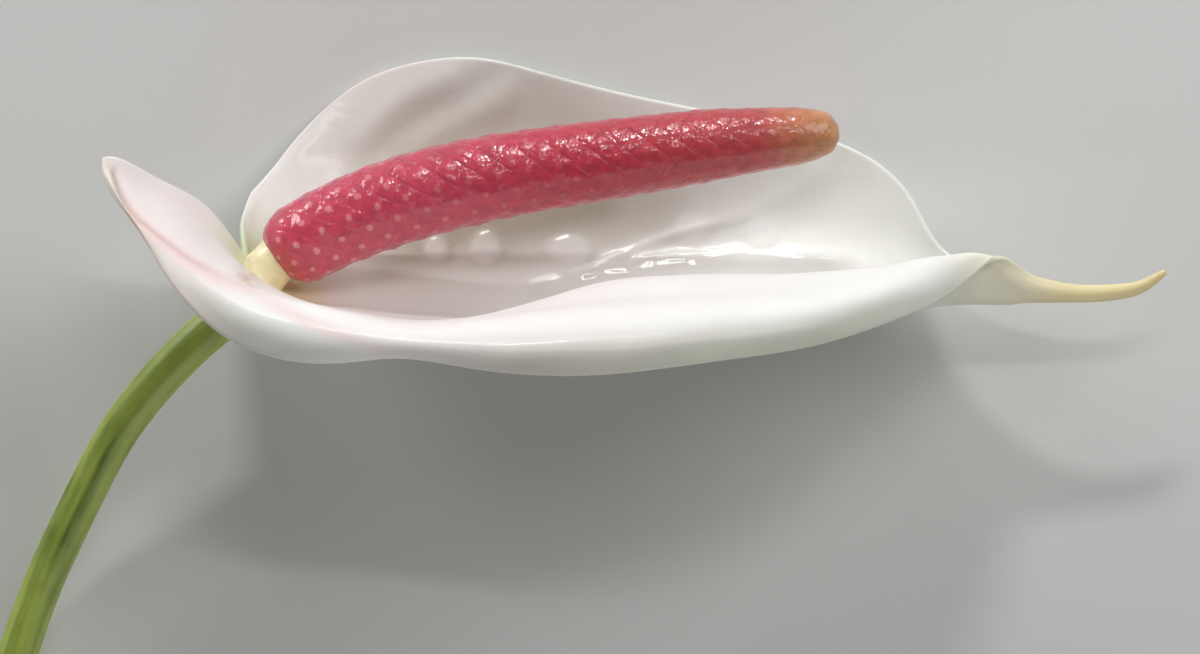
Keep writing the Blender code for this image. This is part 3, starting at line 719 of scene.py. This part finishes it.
def waxy_bract(colours):
    """Waxy plant skin: soft, slightly see-through white under a fine clear wax coat, with painted shade.
    """
    material, shader = new_material("waxy_bract", {
        "IOR": 1.45, "Roughness": 0.42, "Coat Roughness": 0.1, "Subsurface Weight": 0.25,
        "Subsurface Radius": (1.0, 0.88, 0.78), "Subsurface Scale": 0.0012,
    })
    tree = material.node_tree
    place = add_node(tree, "ShaderNodeTexCoord")["Object"]
    shade = (*colours.white, 1.0)
    # The tints include painted shade, round and under the spadix and in the crease, flap and notch.
    for name in ("painted_shade", "blush", "green", "cream", "tan", "drop"):
        amount = add_node(tree, "ShaderNodeAttribute", attribute_name=name)["Fac"]
        tinted = {0: amount, MIX_A: shade, MIX_B: (*getattr(colours, name), 1.0)}
        shade = add_node(tree, "ShaderNodeMix", tinted, data_type="RGBA")[MIX_OUT]
    # Cells under the wax give the white a faint cloud about 6 mm across.
    cloud = add_node(tree, "ShaderNodeTexNoise", {"Vector": place, "Scale": 0.16 / MM, "Detail": 3.0})[0]
    faint = add_node(tree, "ShaderNodeMapRange", (cloud, 0.3, 0.7, 0.965, 1.0))[0]
    clouded = {0: 1.0, MIX_A: shade, MIX_B: faint}
    shade = add_node(tree, "ShaderNodeMix", clouded, data_type="RGBA", blend_type="MULTIPLY")[MIX_OUT]
    tree.links.new(shade, shader.inputs["Base Color"])
    # Sap on the fold and on the blisters leaves the skin wet.
    wet = add_node(tree, "ShaderNodeAttribute", attribute_name="wet")["Fac"]
    coat = add_node(tree, "ShaderNodeMapRange", (wet, 0.0, 1.0, DRY_COAT, WET_COAT))[0]
    tree.links.new(coat, shader.inputs["Coat Weight"])
    # Wax lies unevenly: swells 2.5 mm apart, and the cells' grain at 0.3 mm.
    swells = add_node(tree, "ShaderNodeTexNoise", {"Vector": place, "Scale": 0.4 / MM, "Detail": 2.0})[0]
    grain = add_node(tree, "ShaderNodeTexNoise", {"Vector": place, "Scale": 3.3 / MM, "Detail": 1.0})[0]
    swollen = add_node(tree, "ShaderNodeBump", {
        "Height": swells, "Strength": 0.5, "Distance": 0.1 * MM,
    })[0]
    grained = add_node(tree, "ShaderNodeBump", {
        "Height": grain, "Strength": 0.3, "Distance": 0.02 * MM, "Normal": swollen,
    })[0]
    tree.links.new(grained, shader.inputs["Normal"])
    tree.links.new(swollen, shader.inputs["Coat Normal"])
    return material


class ANTHURIUM_OT_spathe(Operator):
    """Builds the white bract with its two lobes, its blisters and folds and its pointed tail"""

    bl_idname = "anthurium.spathe"
    bl_label = "Spathe"

    def execute(self, context):
        settings = context.scene.anthurium_spathe
        rails = spathe_counts()[1]
        bm = bmesh.new()
        for points, inner in zip(spathe_sheets(settings), (0.0, 1.0)):
            rows = np.arange(len(points)) / (len(points) - 1)
            uv = np.stack(np.meshgrid(rails / rails[-1], rows), axis=-1)
            add_grid(bm, points, uv, spathe_tints(points, rails, inner))
        rim = [edge for edge in bm.edges if edge.is_boundary]
        bmesh.ops.bridge_loops(bm, edges=rim)
        piece = finish_piece(bm, "waxy_spathe", waxy_bract(settings))
        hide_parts("spathe")
        return {"FINISHED"}


# Each floret has a character of its own, one of this many, which tilts and swells it.
SPADIX_SEED, CHARACTERS = 7, 997
FLORET_TILT, FLORET_SWELL = 1.2, 0.6
# Heights in mm of the stigmas and the cracks. Widths are shares of a floret.
STIGMA_HEIGHT, STIGMA_WIDTH = 0.13, 0.15
CRACK_DEPTH, CRACK_WIDTH = 0.05, 0.05

# Puckers of the spadix's skin: their spacing and their height, in mm.
PUCKERS = [(1.5, 0.075), (0.75, 0.035)]


def girth(shares, radius):
    """Radius of the spadix in mm at shares of its length."""
    places, widths = np.array(SPADIX_GIRTH).T
    return radius * spline(places, widths[:, None], np.asarray(shares))[:, 0]


def floret_rows(radius):
    """Shares of the spadix's length where its rows of floret corners sit."""
    length = frames_along(SPADIX_AXIS, [0.0])[3]
    places, widths = np.array(SPADIX_GIRTH).T
    rows = [0.0]
    while rows[-1] < 1.0:
        rows.append(rows[-1] + FLORET_PITCH * radius * np.interp(rows[-1], places, widths) / length)
    return np.array(rows) / rows[-1]


def floret_heights(turn, row, share):
    """At turns and rows of the lattice: the florets' pillows, and their marks' heights in mm."""
    # The florets lie along two sets of lines that climb round the spadix either way.
    one, other = turn + row, turn - row
    from_one, from_other = one - np.round(one), other - np.round(other)
    number = (np.round(one) * 31 + np.round(other) * 17).astype(int)
    character = np.random.default_rng(SPADIX_SEED).random(CHARACTERS)[number % CHARACTERS] - 0.5
    pillow = (1 - (2 * from_one) ** 2) * (1 - (2 * from_other) ** 2)
    tilt = FLORET_TILT * character * (from_one - from_other)
    to_crack = 0.5 - np.maximum(np.abs(from_one), np.abs(from_other))
    from_middle = np.hypot(from_one, from_other)
    ring = bell(from_middle, STIGMA_WIDTH) - 0.7 * bell(from_middle, 0.4 * STIGMA_WIDTH)
    aged = smooth_step(share, 0.25, 0.75)
    sunk = STIGMA_HEIGHT * ring * (1 - 0.7 * aged) - CRACK_DEPTH * bell(to_crack, CRACK_WIDTH)
    return pillow * (1 + FLORET_SWELL * character) + tilt - 0.5, sunk


def puckered(points):
    """Heights in mm of the fine puckers of the spadix's skin, at points in mm."""
    heights = np.zeros(points.shape[:-1])
    for spacing, height in PUCKERS:
        flat = [noise.noise(Vector(point) / spacing) for point in points.reshape(-1, 3)]
        heights += height * np.array(flat).reshape(heights.shape)
    return heights


def rose_spadix_skin(colours):
    """Fleshy glossy florets: rose to tan, parted by fine cracks, each with a pale stigma."""
    material, shader = new_material("rose_spadix_skin", {
        "Roughness": 0.4, "IOR": 1.45, "Specular IOR Level": 0.25, "Coat Weight": 0.7,
        "Coat Roughness": 0.05, "Sheen Weight": 0.4, "Sheen Roughness": 0.4,
        "Sheen Tint": (*linear("#F6C0CC"), 1.0), "Subsurface Weight": 0.1,
        "Subsurface Radius": (1.0, 0.35, 0.3), "Subsurface Scale": 0.001,
    })
    tree = material.node_tree
    place = add_node(tree, "ShaderNodeTexCoord")["Object"]
    # The UV map is the lattice of florets. Cracks wander in it by up to a tenth of a floret.
    lattice = add_node(tree, "ShaderNodeUVMap", uv_map=UV_MAP)[0]
    wander = add_node(tree, "ShaderNodeTexNoise", {"Vector": place, "Scale": 0.7 / MM, "Detail": 2.0})
    centred = add_node(
        tree, "ShaderNodeVectorMath", (wander["Color"], (0.5, 0.5, 0.5)), operation="SUBTRACT"
    )[0]
    scaled = add_node(tree, "ShaderNodeVectorMath", {0: centred, "Scale": 0.16}, operation="SCALE")[0]
    moved = add_node(tree, "ShaderNodeVectorMath", (lattice, scaled), operation="ADD")[0]
    across, ahead, _ = add_node(tree, "ShaderNodeSeparateXYZ", (moved,))
    away = []
    for operation in ("ADD", "SUBTRACT"):
        line = add_node(tree, "ShaderNodeMath", (across, ahead), operation=operation)[0]
        away.append(add_node(tree, "ShaderNodeMath", (line, 0.5), operation="PINGPONG")[0])
    widest = add_node(tree, "ShaderNodeMath", away, operation="MAXIMUM")[0]
    squares = [
        add_node(tree, "ShaderNodeMath", (distance, distance), operation="MULTIPLY")[0]
        for distance in away
    ]
    square = add_node(tree, "ShaderNodeMath", squares, operation="ADD")[0]
    from_middle = add_node(tree, "ShaderNodeMath", (square,), operation="SQRT")[0]
    # Florets ripen from rose at the base to tan at the tip.
    share = add_node(tree, "ShaderNodeAttribute", attribute_name="share")["Fac"]
    ripe = add_node(tree, "ShaderNodeValToRGB", (share,))[0]
    ripening = [
        (0.0, colours.rose), (0.3, colours.rose), (0.55, colours.red), (0.86, colours.brick),
        (0.98, colours.tan),
    ]
    elements = ripe.node.color_ramp.elements
    while len(elements) < len(ripening):
        elements.new(0.5)
    for element, (position, tint) in zip(elements, ripening):
        element.position = position
        element.color = (*tint, 1.0)
    # The flesh is mottled, 1.4 mm across.
    uneven = add_node(tree, "ShaderNodeTexNoise", {"Vector": place, "Scale": 0.7 / MM, "Detail": 4.0})[0]
    mottle = add_node(tree, "ShaderNodeMapRange", (uneven, 0.3, 0.7, 0.8, 1.1))[0]
    mottled = {0: 1.0, MIX_A: ripe, MIX_B: mottle}
    skin = add_node(tree, "ShaderNodeMix", mottled, data_type="RGBA", blend_type="MULTIPLY")[MIX_OUT]
    # The stigma is a spot about 0.4 mm in radius with a darker middle, and fades with age.
    edge = add_node(tree, "ShaderNodeMapRange", (from_middle, 0.08, 0.2, 1.0, 0.0))[0]
    pit = add_node(tree, "ShaderNodeMapRange", (from_middle, 0.0, 0.08, 0.65, 1.0))[0]
    young = add_node(tree, "ShaderNodeAttribute", attribute_name="young")["Fac"]
    spotted = add_node(tree, "ShaderNodeMath", (edge, pit), operation="MULTIPLY")[0]
    stigma = add_node(tree, "ShaderNodeMath", (spotted, young), operation="MULTIPLY")[0]
    dotted = {0: stigma, MIX_A: skin, MIX_B: (*colours.stigma, 1.0)}
    skin = add_node(tree, "ShaderNodeMix", dotted, data_type="RGBA")[MIX_OUT]
    # Cracks are 0.13 mm wide, and fade in patches 5 mm across, where florets have grown together.
    line = add_node(tree, "ShaderNodeMapRange", (widest, 0.476, 0.496, 0.0, 1.0))[0]
    patches = add_node(tree, "ShaderNodeTexNoise", {"Vector": place, "Scale": 0.19 / MM, "Detail": 1.0})[0]
    parted = add_node(tree, "ShaderNodeMapRange", (patches, 0.38, 0.6, 0.15, 0.65))[0]
    # The cracks are real, but their extra weight on the upper side is painted light.
    split_and_lit_side = add_node(tree, "ShaderNodeAttribute", attribute_name="split_and_lit_side")["Fac"]
    opened = add_node(tree, "ShaderNodeMath", (parted, split_and_lit_side), operation="MULTIPLY")[0]
    crack = add_node(tree, "ShaderNodeMath", (line, opened), operation="MULTIPLY")[0]
    cracked = {0: crack, MIX_A: skin, MIX_B: (*colours.crack, 1.0)}
    skin = add_node(tree, "ShaderNodeMix", cracked, data_type="RGBA")[MIX_OUT]
    tree.links.new(skin, shader.inputs["Base Color"])
    # Cells pucker the skin at about 0.5 mm, and it sinks at each crack.
    cells = add_node(tree, "ShaderNodeTexNoise", {"Vector": place, "Scale": 2.0 / MM, "Detail": 1.0})[0]
    pucker = add_node(tree, "ShaderNodeBump", {
        "Height": cells, "Strength": 0.8, "Distance": 0.09 * MM,
    })[0]
    sunk = add_node(tree, "ShaderNodeBump", {
        "Height": crack, "Strength": 0.8, "Distance": 0.08 * MM, "Normal": pucker,
    }, invert=True)[0]
    tree.links.new(sunk, shader.inputs["Normal"])
    tree.links.new(sunk, shader.inputs["Coat Normal"])
    return material


class ANTHURIUM_OT_spadix(Operator):
    """Builds the fleshy spike with its lattice of florets"""

    bl_idname = "anthurium.spadix"
    bl_label = "Spadix"

    def execute(self, context):
        settings = context.scene.anthurium_spadix
        rows = floret_rows(settings.radius)
        row_counts = np.arange((len(rows) - 1) * STEPS_PER_ROW + 1) / STEPS_PER_ROW
        shares = np.interp(row_counts, np.arange(len(rows)), rows)
        turns = np.arange(FLORETS_AROUND * STEPS_PER_FLORET + 1) / STEPS_PER_FLORET
        turn, row = np.meshgrid(turns - 0.5, row_counts / 2)
        share = np.broadcast_to(shares[:, None], turn.shape)
        pillow, sunk = floret_heights(turn, row, share)
        centre, over, side, _ = frames_along(SPADIX_AXIS, shares)
        width = girth(shares, settings.radius)[:, None]
        size = (width / settings.radius) ** 2
        height = (settings.relief * pillow + sunk) * size
        angle = turns * 2 * math.pi / FLORETS_AROUND
        out = np.cos(angle)[None, :, None] * over[:, None] + np.sin(angle)[None, :, None] * side[:, None]
        smooth = centre[:, None] + out * width[..., None]
        points = smooth + out * (height + puckered(smooth) * size)[..., None]
        # Young stigmas stand near the base. The florets have parted most in the middle.
        # The cracks are drawn stronger on the upper side: painted light.
        young = 0.5 * falling(share, 0.05, 0.45) + 0.16 * falling(share, 0.45, 0.75)
        lit_upper_side = (1 + np.cos(angle - math.pi / 4)) / 2
        split_and_lit_side = smooth_step(share, 0.03, 0.25) * (1 - 0.9 * smooth_step(share, 0.72, 0.92))
        split_and_lit_side = split_and_lit_side * (0.35 + 0.65 * lit_upper_side)
        layers = {"share": share, "young": young, "split_and_lit_side": split_and_lit_side}
        bm, _ = closed_tube(points, np.stack([turn, row], axis=-1), layers)
        piece = finish_piece(bm, "floret_spadix", rose_spadix_skin(settings))
        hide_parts("spadix")
        return {"FINISHED"}


def tube_points(line, shares, radii, sides):
    """Rings of points round a line, closed by a repeat of their first point."""
    points, over, side, _ = frames_along(line, shares)
    angle = np.linspace(0, 2 * math.pi, sides + 1)[None, :, None]
    out = np.cos(angle) * over[:, None] + np.sin(angle) * side[:, None]
    return points[:, None] + out * radii[..., None]


def closed_tube(points, uv, layers):
    """A bmesh of a tube through rings of points in mm, joined at its seam, and its two ends."""
    bm = bmesh.new()
    grid = add_grid(bm, points, uv, layers)
    bmesh.ops.remove_doubles(bm, verts=grid, dist=SEAM_GAP * MM)
    rims = [edge for edge in bm.edges if edge.is_boundary]
    return bm, bmesh.ops.holes_fill(bm, edges=rims)["faces"]


def seat_ring(ring, carrier, heading, depth):
    """Moves points of a ring along heading until each is a depth inside its carrier."""
    tree = BVHTree.FromPolygons(
        [laid().inverted() @ vert.co for vert in carrier.data.vertices],
        [face.vertices for face in carrier.data.polygons],
    )
    heading = Vector(heading).normalized()
    seated = []
    for point in ring:
        start = (Vector(point) - heading * SEAT_REACH) * MM
        hit = tree.ray_cast(start, heading)[0]
        seated.append(hit / MM + heading * depth if hit else Vector(point))
    return np.array(seated)


def green_stalk_skin(colours):
    """Smooth succulent skin: yellow green with long darker streaks, and pith in the cut."""
    material, shader = new_material("green_stalk_skin", {
        "Roughness": 0.45, "IOR": 1.45, "Coat Weight": 0.15, "Coat Roughness": 0.3,
        "Subsurface Weight": 0.1, "Subsurface Radius": (0.6, 1.0, 0.3), "Subsurface Scale": 0.001,
    })
    tree = material.node_tree
    place = add_node(tree, "ShaderNodeTexCoord")["Object"]
    along = add_node(tree, "ShaderNodeUVMap", uv_map=UV_MAP)[0]
    # Streaks 1.5 mm wide and 20 mm long, in clouds 11 mm across.
    stretched = add_node(tree, "ShaderNodeMapping", {"Vector": along, "Scale": (10.0, 4.5, 1.0)})[0]
    streaks = add_node(tree, "ShaderNodeTexNoise", {"Vector": stretched, "Scale": 1.0, "Detail": 5.0})[0]
    cloud = add_node(tree, "ShaderNodeTexNoise", {"Vector": place, "Scale": 0.09 / MM, "Detail": 3.0})[0]
    both = add_node(tree, "ShaderNodeMath", (streaks, cloud), operation="MULTIPLY")[0]
    amount = add_node(tree, "ShaderNodeMapRange", (both, 0.2, 0.42, 0.0, 1.0))[0]
    streaked = {0: amount, MIX_A: (*colours.green, 1.0), MIX_B: (*colours.dark_green, 1.0)}
    skin = add_node(tree, "ShaderNodeMix", streaked, data_type="RGBA")[MIX_OUT]
    cut = add_node(tree, "ShaderNodeAttribute", attribute_name="cut")["Fac"]
    ended = {0: cut, MIX_A: skin, MIX_B: (*colours.pith, 1.0)}
    skin = add_node(tree, "ShaderNodeMix", ended, data_type="RGBA")[MIX_OUT]
    tree.links.new(skin, shader.inputs["Base Color"])
    raised = {"Height": streaks, "Strength": 0.5, "Distance": 0.12 * MM}
    tree.links.new(add_node(tree, "ShaderNodeBump", raised)[0], shader.inputs["Normal"])
    return material


class ANTHURIUM_OT_stalk(Operator):
    """Builds the green flower stalk, from the spathe's underside to its cut end"""

    bl_idname = "anthurium.stalk"
    bl_label = "Stalk"

    def execute(self, context):
        settings = context.scene.anthurium_stalk
        shares = (np.arange(STEM_RINGS + 1) / STEM_RINGS) ** 1.1
        turns = np.linspace(0, 2 * math.pi, STEM_SIDES + 1)[None, :]
        radii = settings.radius + STEM_FLARE * np.exp(-shares[:, None] / STEM_FLARE_SHARE)
        length = frames_along(STEM_LINE, [0.0])[3]
        along = shares[:, None] * length
        uneven = np.sin(along / 3.7 + np.sin(along / 6.1)) * np.cos(turns + along / 21)
        ribs = np.cos(STEM_RIBS * turns + 0.7 * np.sin(along / 17))
        radii = radii + STEM_UNEVEN * uneven + STEM_RIB * ribs
        points = tube_points(STEM_LINE, shares, radii, STEM_SIDES)
        start, following = placed(STEM_LINE)[:2]
        spathe = bpy.data.objects["waxy_spathe"]
        points[0] = seat_ring(points[0], spathe, start - following, SEAT_DEPTH)
        uv = np.stack(np.meshgrid(np.linspace(0, 1, STEM_SIDES + 1), shares), axis=-1)
        bm, ends = closed_tube(points, uv, {"cut": np.zeros(points.shape[:2])})
        cut = bm.verts.layers.float["cut"]
        for face in ends:
            for width, depth in (CUT_RIM, CUT_PITH):
                bmesh.ops.inset_individual(bm, faces=[face], thickness=width * MM, depth=depth * MM)
                for vert in face.verts:
                    vert[cut] = 1.0
            bmesh.ops.poke(bm, faces=[face])
        piece = finish_piece(bm, "green_stalk", green_stalk_skin(settings))
        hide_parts("peduncle")
        return {"FINISHED"}


def cream_neck_skin(colours):
    """Tender pale tissue under a fine wax, finely wrinkled, with painted shade in the wrinkles."""
    material, shader = new_material("cream_neck_skin", {
        "Roughness": 0.4, "IOR": 1.45, "Coat Weight": 0.35, "Coat Roughness": 0.15,
        "Subsurface Weight": 0.3, "Subsurface Radius": (1.0, 0.8, 0.4), "Subsurface Scale": 0.001,
    })
    tree = material.node_tree
    place = add_node(tree, "ShaderNodeTexCoord")["Object"]
    # Wrinkles 1.1 mm apart, with painted shade making them a little darker where they sink.
    wrinkles = add_node(tree, "ShaderNodeTexNoise", {"Vector": place, "Scale": 0.9 / MM, "Detail": 3.0})[0]
    tint = add_node(tree, "ShaderNodeMapRange", (wrinkles, 0.3, 0.7, 0.93, 1.0))[0]
    tinted = {0: 1.0, MIX_A: (*colours.cream, 1.0), MIX_B: tint}
    shade = add_node(tree, "ShaderNodeMix", tinted, data_type="RGBA", blend_type="MULTIPLY")[MIX_OUT]
    tree.links.new(shade, shader.inputs["Base Color"])
    raised = {"Height": wrinkles, "Strength": 0.5, "Distance": 0.12 * MM}
    tree.links.new(add_node(tree, "ShaderNodeBump", raised)[0], shader.inputs["Normal"])
    return material


class ANTHURIUM_OT_neck(Operator):
    """Builds the cream stipe between the spathe and the spadix"""

    bl_idname = "anthurium.neck"
    bl_label = "Neck"

    def execute(self, context):
        settings = context.scene.anthurium_stalk
        shares = np.arange(NECK_RINGS + 1) / NECK_RINGS
        radii = np.interp(shares, (0.0, 1.0), STIPE_RADII)[:, None] * np.ones(NECK_SIDES + 1)
        points = tube_points(STIPE_AXIS, shares, radii, NECK_SIDES)
        start, *_, end = placed(STIPE_AXIS)
        spathe = bpy.data.objects["waxy_spathe"]
        spadix = bpy.data.objects["floret_spadix"]
        points[0] = seat_ring(points[0], spathe, start - end, SEAT_DEPTH)
        points[-1] = seat_ring(points[-1], spadix, end - start, SEAT_DEPTH)
        # The neck swells from the blade in a smooth fillet: it narrows first, and then rises.
        low, high = points[0].mean(axis=0), points[-1].mean(axis=0)
        risen = low + (high - low) * shares[:, None, None] ** NECK_RISE
        narrowing = 1 - (1 - shares[:, None, None]) ** NECK_NARROWING
        points = risen + (points[0] - low) * (1 - narrowing) + (points[-1] - high) * narrowing
        # It is wrinkled, but for its two seats.
        wrinkles = NECK_WRINKLE * crumples(points, NECK_SPACING) * np.sin(math.pi * shares)[:, None]
        out = points - points.mean(axis=1, keepdims=True)
        points = points + wrinkles[..., None] * out / np.linalg.norm(out, axis=-1, keepdims=True)
        uv = np.stack(np.meshgrid(np.linspace(0, 1, NECK_SIDES + 1), shares), axis=-1)
        bm, _ = closed_tube(points, uv, {})
        piece = finish_piece(bm, "cream_neck", cream_neck_skin(settings))
        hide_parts("stipe")
        return {"FINISHED"}


# The floor's side and how far it lies below the bloom, in metres, and the strength of the
# faint white world light.
FLOOR_SIDE, FLOOR_DROP = 3.0, 0.0002
WORLD_STRENGTH = 0.02

# Soft boxes round the bloom: the way to each, its width and height in metres, and its share
# of the power.
LIGHT_DISTANCE = 0.9
LIGHT_TARGET = (0.0, 0.0, 0.02)
SOFT_BOXES = {
    "far_left": ((-0.7, 0.7, 0.15), (0.3, 0.3), 0.255),
    "far": ((0.0, 0.96, 0.26), (0.3, 0.07), 0.06),
    "right": ((0.6, 0.5, 0.62), (0.5, 0.5), 0.225),
    "near": ((0.15, -0.92, 0.36), (1.3, 0.6), 0.27),
    "glint": ((-0.03, 0.89, 0.46), (0.18, 0.05), 0.175),
    "spark": ((0.1, 0.49, 0.866), (0.3, 0.035), 0.065),
}


def pale_board(settings):
    """Matt pale board, as a photographer's backdrop."""
    return new_material("pale_board", {
        "Base Color": (*settings.floor, 1.0), "Roughness": 0.9, "Specular IOR Level": 0.2,
    })[0]


def add_soft_box(name, way, size, power):
    """A soft box of the given width and height that faces the bloom from the given way."""
    light = bpy.data.lights.new(name, "AREA")
    light.energy = power
    light.shape = "RECTANGLE"
    light.size, light.size_y = size
    lamp = bpy.data.objects.new(name, light)
    bpy.context.scene.collection.objects.link(lamp)
    way = Vector(way).normalized()
    lamp.location = Vector(LIGHT_TARGET) + way * LIGHT_DISTANCE
    lamp.rotation_euler = (-way).to_track_quat("-Z", "Y").to_euler()


class ANTHURIUM_OT_stage(Operator):
    """Builds the floor, the soft light and the camera over the laid bloom"""

    bl_idname = "anthurium.stage"
    bl_label = "Stage"

    def execute(self, context):
        scene = context.scene
        settings = scene.anthurium_stage
        bm = bmesh.new()
        bmesh.ops.create_grid(bm, x_segments=1, y_segments=1, size=FLOOR_SIDE / 2)
        bmesh.ops.translate(bm, verts=bm.verts, vec=(0.0, 0.0, -FLOOR_DROP))
        mesh = bpy.data.meshes.new("floor")
        bm.to_mesh(mesh)
        bm.free()
        mesh.materials.append(pale_board(settings))
        floor = bpy.data.objects.new("floor", mesh)
        scene.collection.objects.link(floor)
        for name, (way, size, share) in SOFT_BOXES.items():
            add_soft_box(name, way, size, share * settings.power)
        world = bpy.data.worlds.new("studio")
        world.use_nodes = True
        background = world.node_tree.nodes["Background"].inputs
        background["Color"].default_value = (1.0, 1.0, 1.0, 1.0)
        background["Strength"].default_value = WORLD_STRENGTH
        scene.world = world
        camera = bpy.data.cameras.new("camera")
        camera.sensor_width = SENSOR_WIDTH
        camera.lens = SENSOR_WIDTH * EYE_DISTANCE / VIEW_WIDTH
        camera.clip_start = 0.01
        eye = bpy.data.objects.new("camera", camera)
        scene.collection.objects.link(eye)
        place = Matrix.Translation(Vector((EYE_X, -EYE_DISTANCE, EYE_Z)) * MM)
        eye.matrix_world = laid() @ place @ Matrix.Rotation(math.radians(90), 4, "X")
        scene.camera = eye
        scene.view_settings.view_transform = "Standard"
        return {"FINISHED"}


class ANTHURIUM_PT_bloom(Panel):
    """Lists the steps that build the bloom, with their sizes and colours"""

    bl_idname = "ANTHURIUM_PT_bloom"
    bl_label = "Anthurium Bloom"
    bl_space_type = "VIEW_3D"
    bl_region_type = "UI"
    bl_category = "Anthurium"

    def draw(self, context):
        for step, group in STEPS:
            box = self.layout.box()
            box.operator(step.bl_idname)
            settings = getattr(context.scene, group)
            for name in settings.__annotations__:
                box.prop(settings, name)


STEPS = [
    (ANTHURIUM_OT_spathe, "anthurium_spathe"),
    (ANTHURIUM_OT_spadix, "anthurium_spadix"),
    (ANTHURIUM_OT_stalk, "anthurium_stalk"),
    (ANTHURIUM_OT_neck, "anthurium_stalk"),
    (ANTHURIUM_OT_stage, "anthurium_stage"),
]
GROUPS = {
    "anthurium_spathe": SpatheSettings,
    "anthurium_spadix": SpadixSettings,
    "anthurium_stalk": StalkSettings,
    "anthurium_stage": StageSettings,
}


def register():
    for name, group in GROUPS.items():
        bpy.utils.register_class(group)
        setattr(bpy.types.Scene, name, PointerProperty(type=group))
    for step, _ in STEPS:
        bpy.utils.register_class(step)
    bpy.utils.register_class(ANTHURIUM_PT_bloom)


def unregister():
    bpy.utils.unregister_class(ANTHURIUM_PT_bloom)
    for step, _ in reversed(STEPS):
        bpy.utils.unregister_class(step)
    for name, group in reversed(GROUPS.items()):
        delattr(bpy.types.Scene, name)
        bpy.utils.unregister_class(group)


def main():
    register()
    bpy.ops.anthurium.spathe()
    bpy.ops.anthurium.spadix()
    bpy.ops.anthurium.stalk()
    bpy.ops.anthurium.neck()
    bpy.ops.anthurium.stage()


if __name__ == "__main__":
    main()
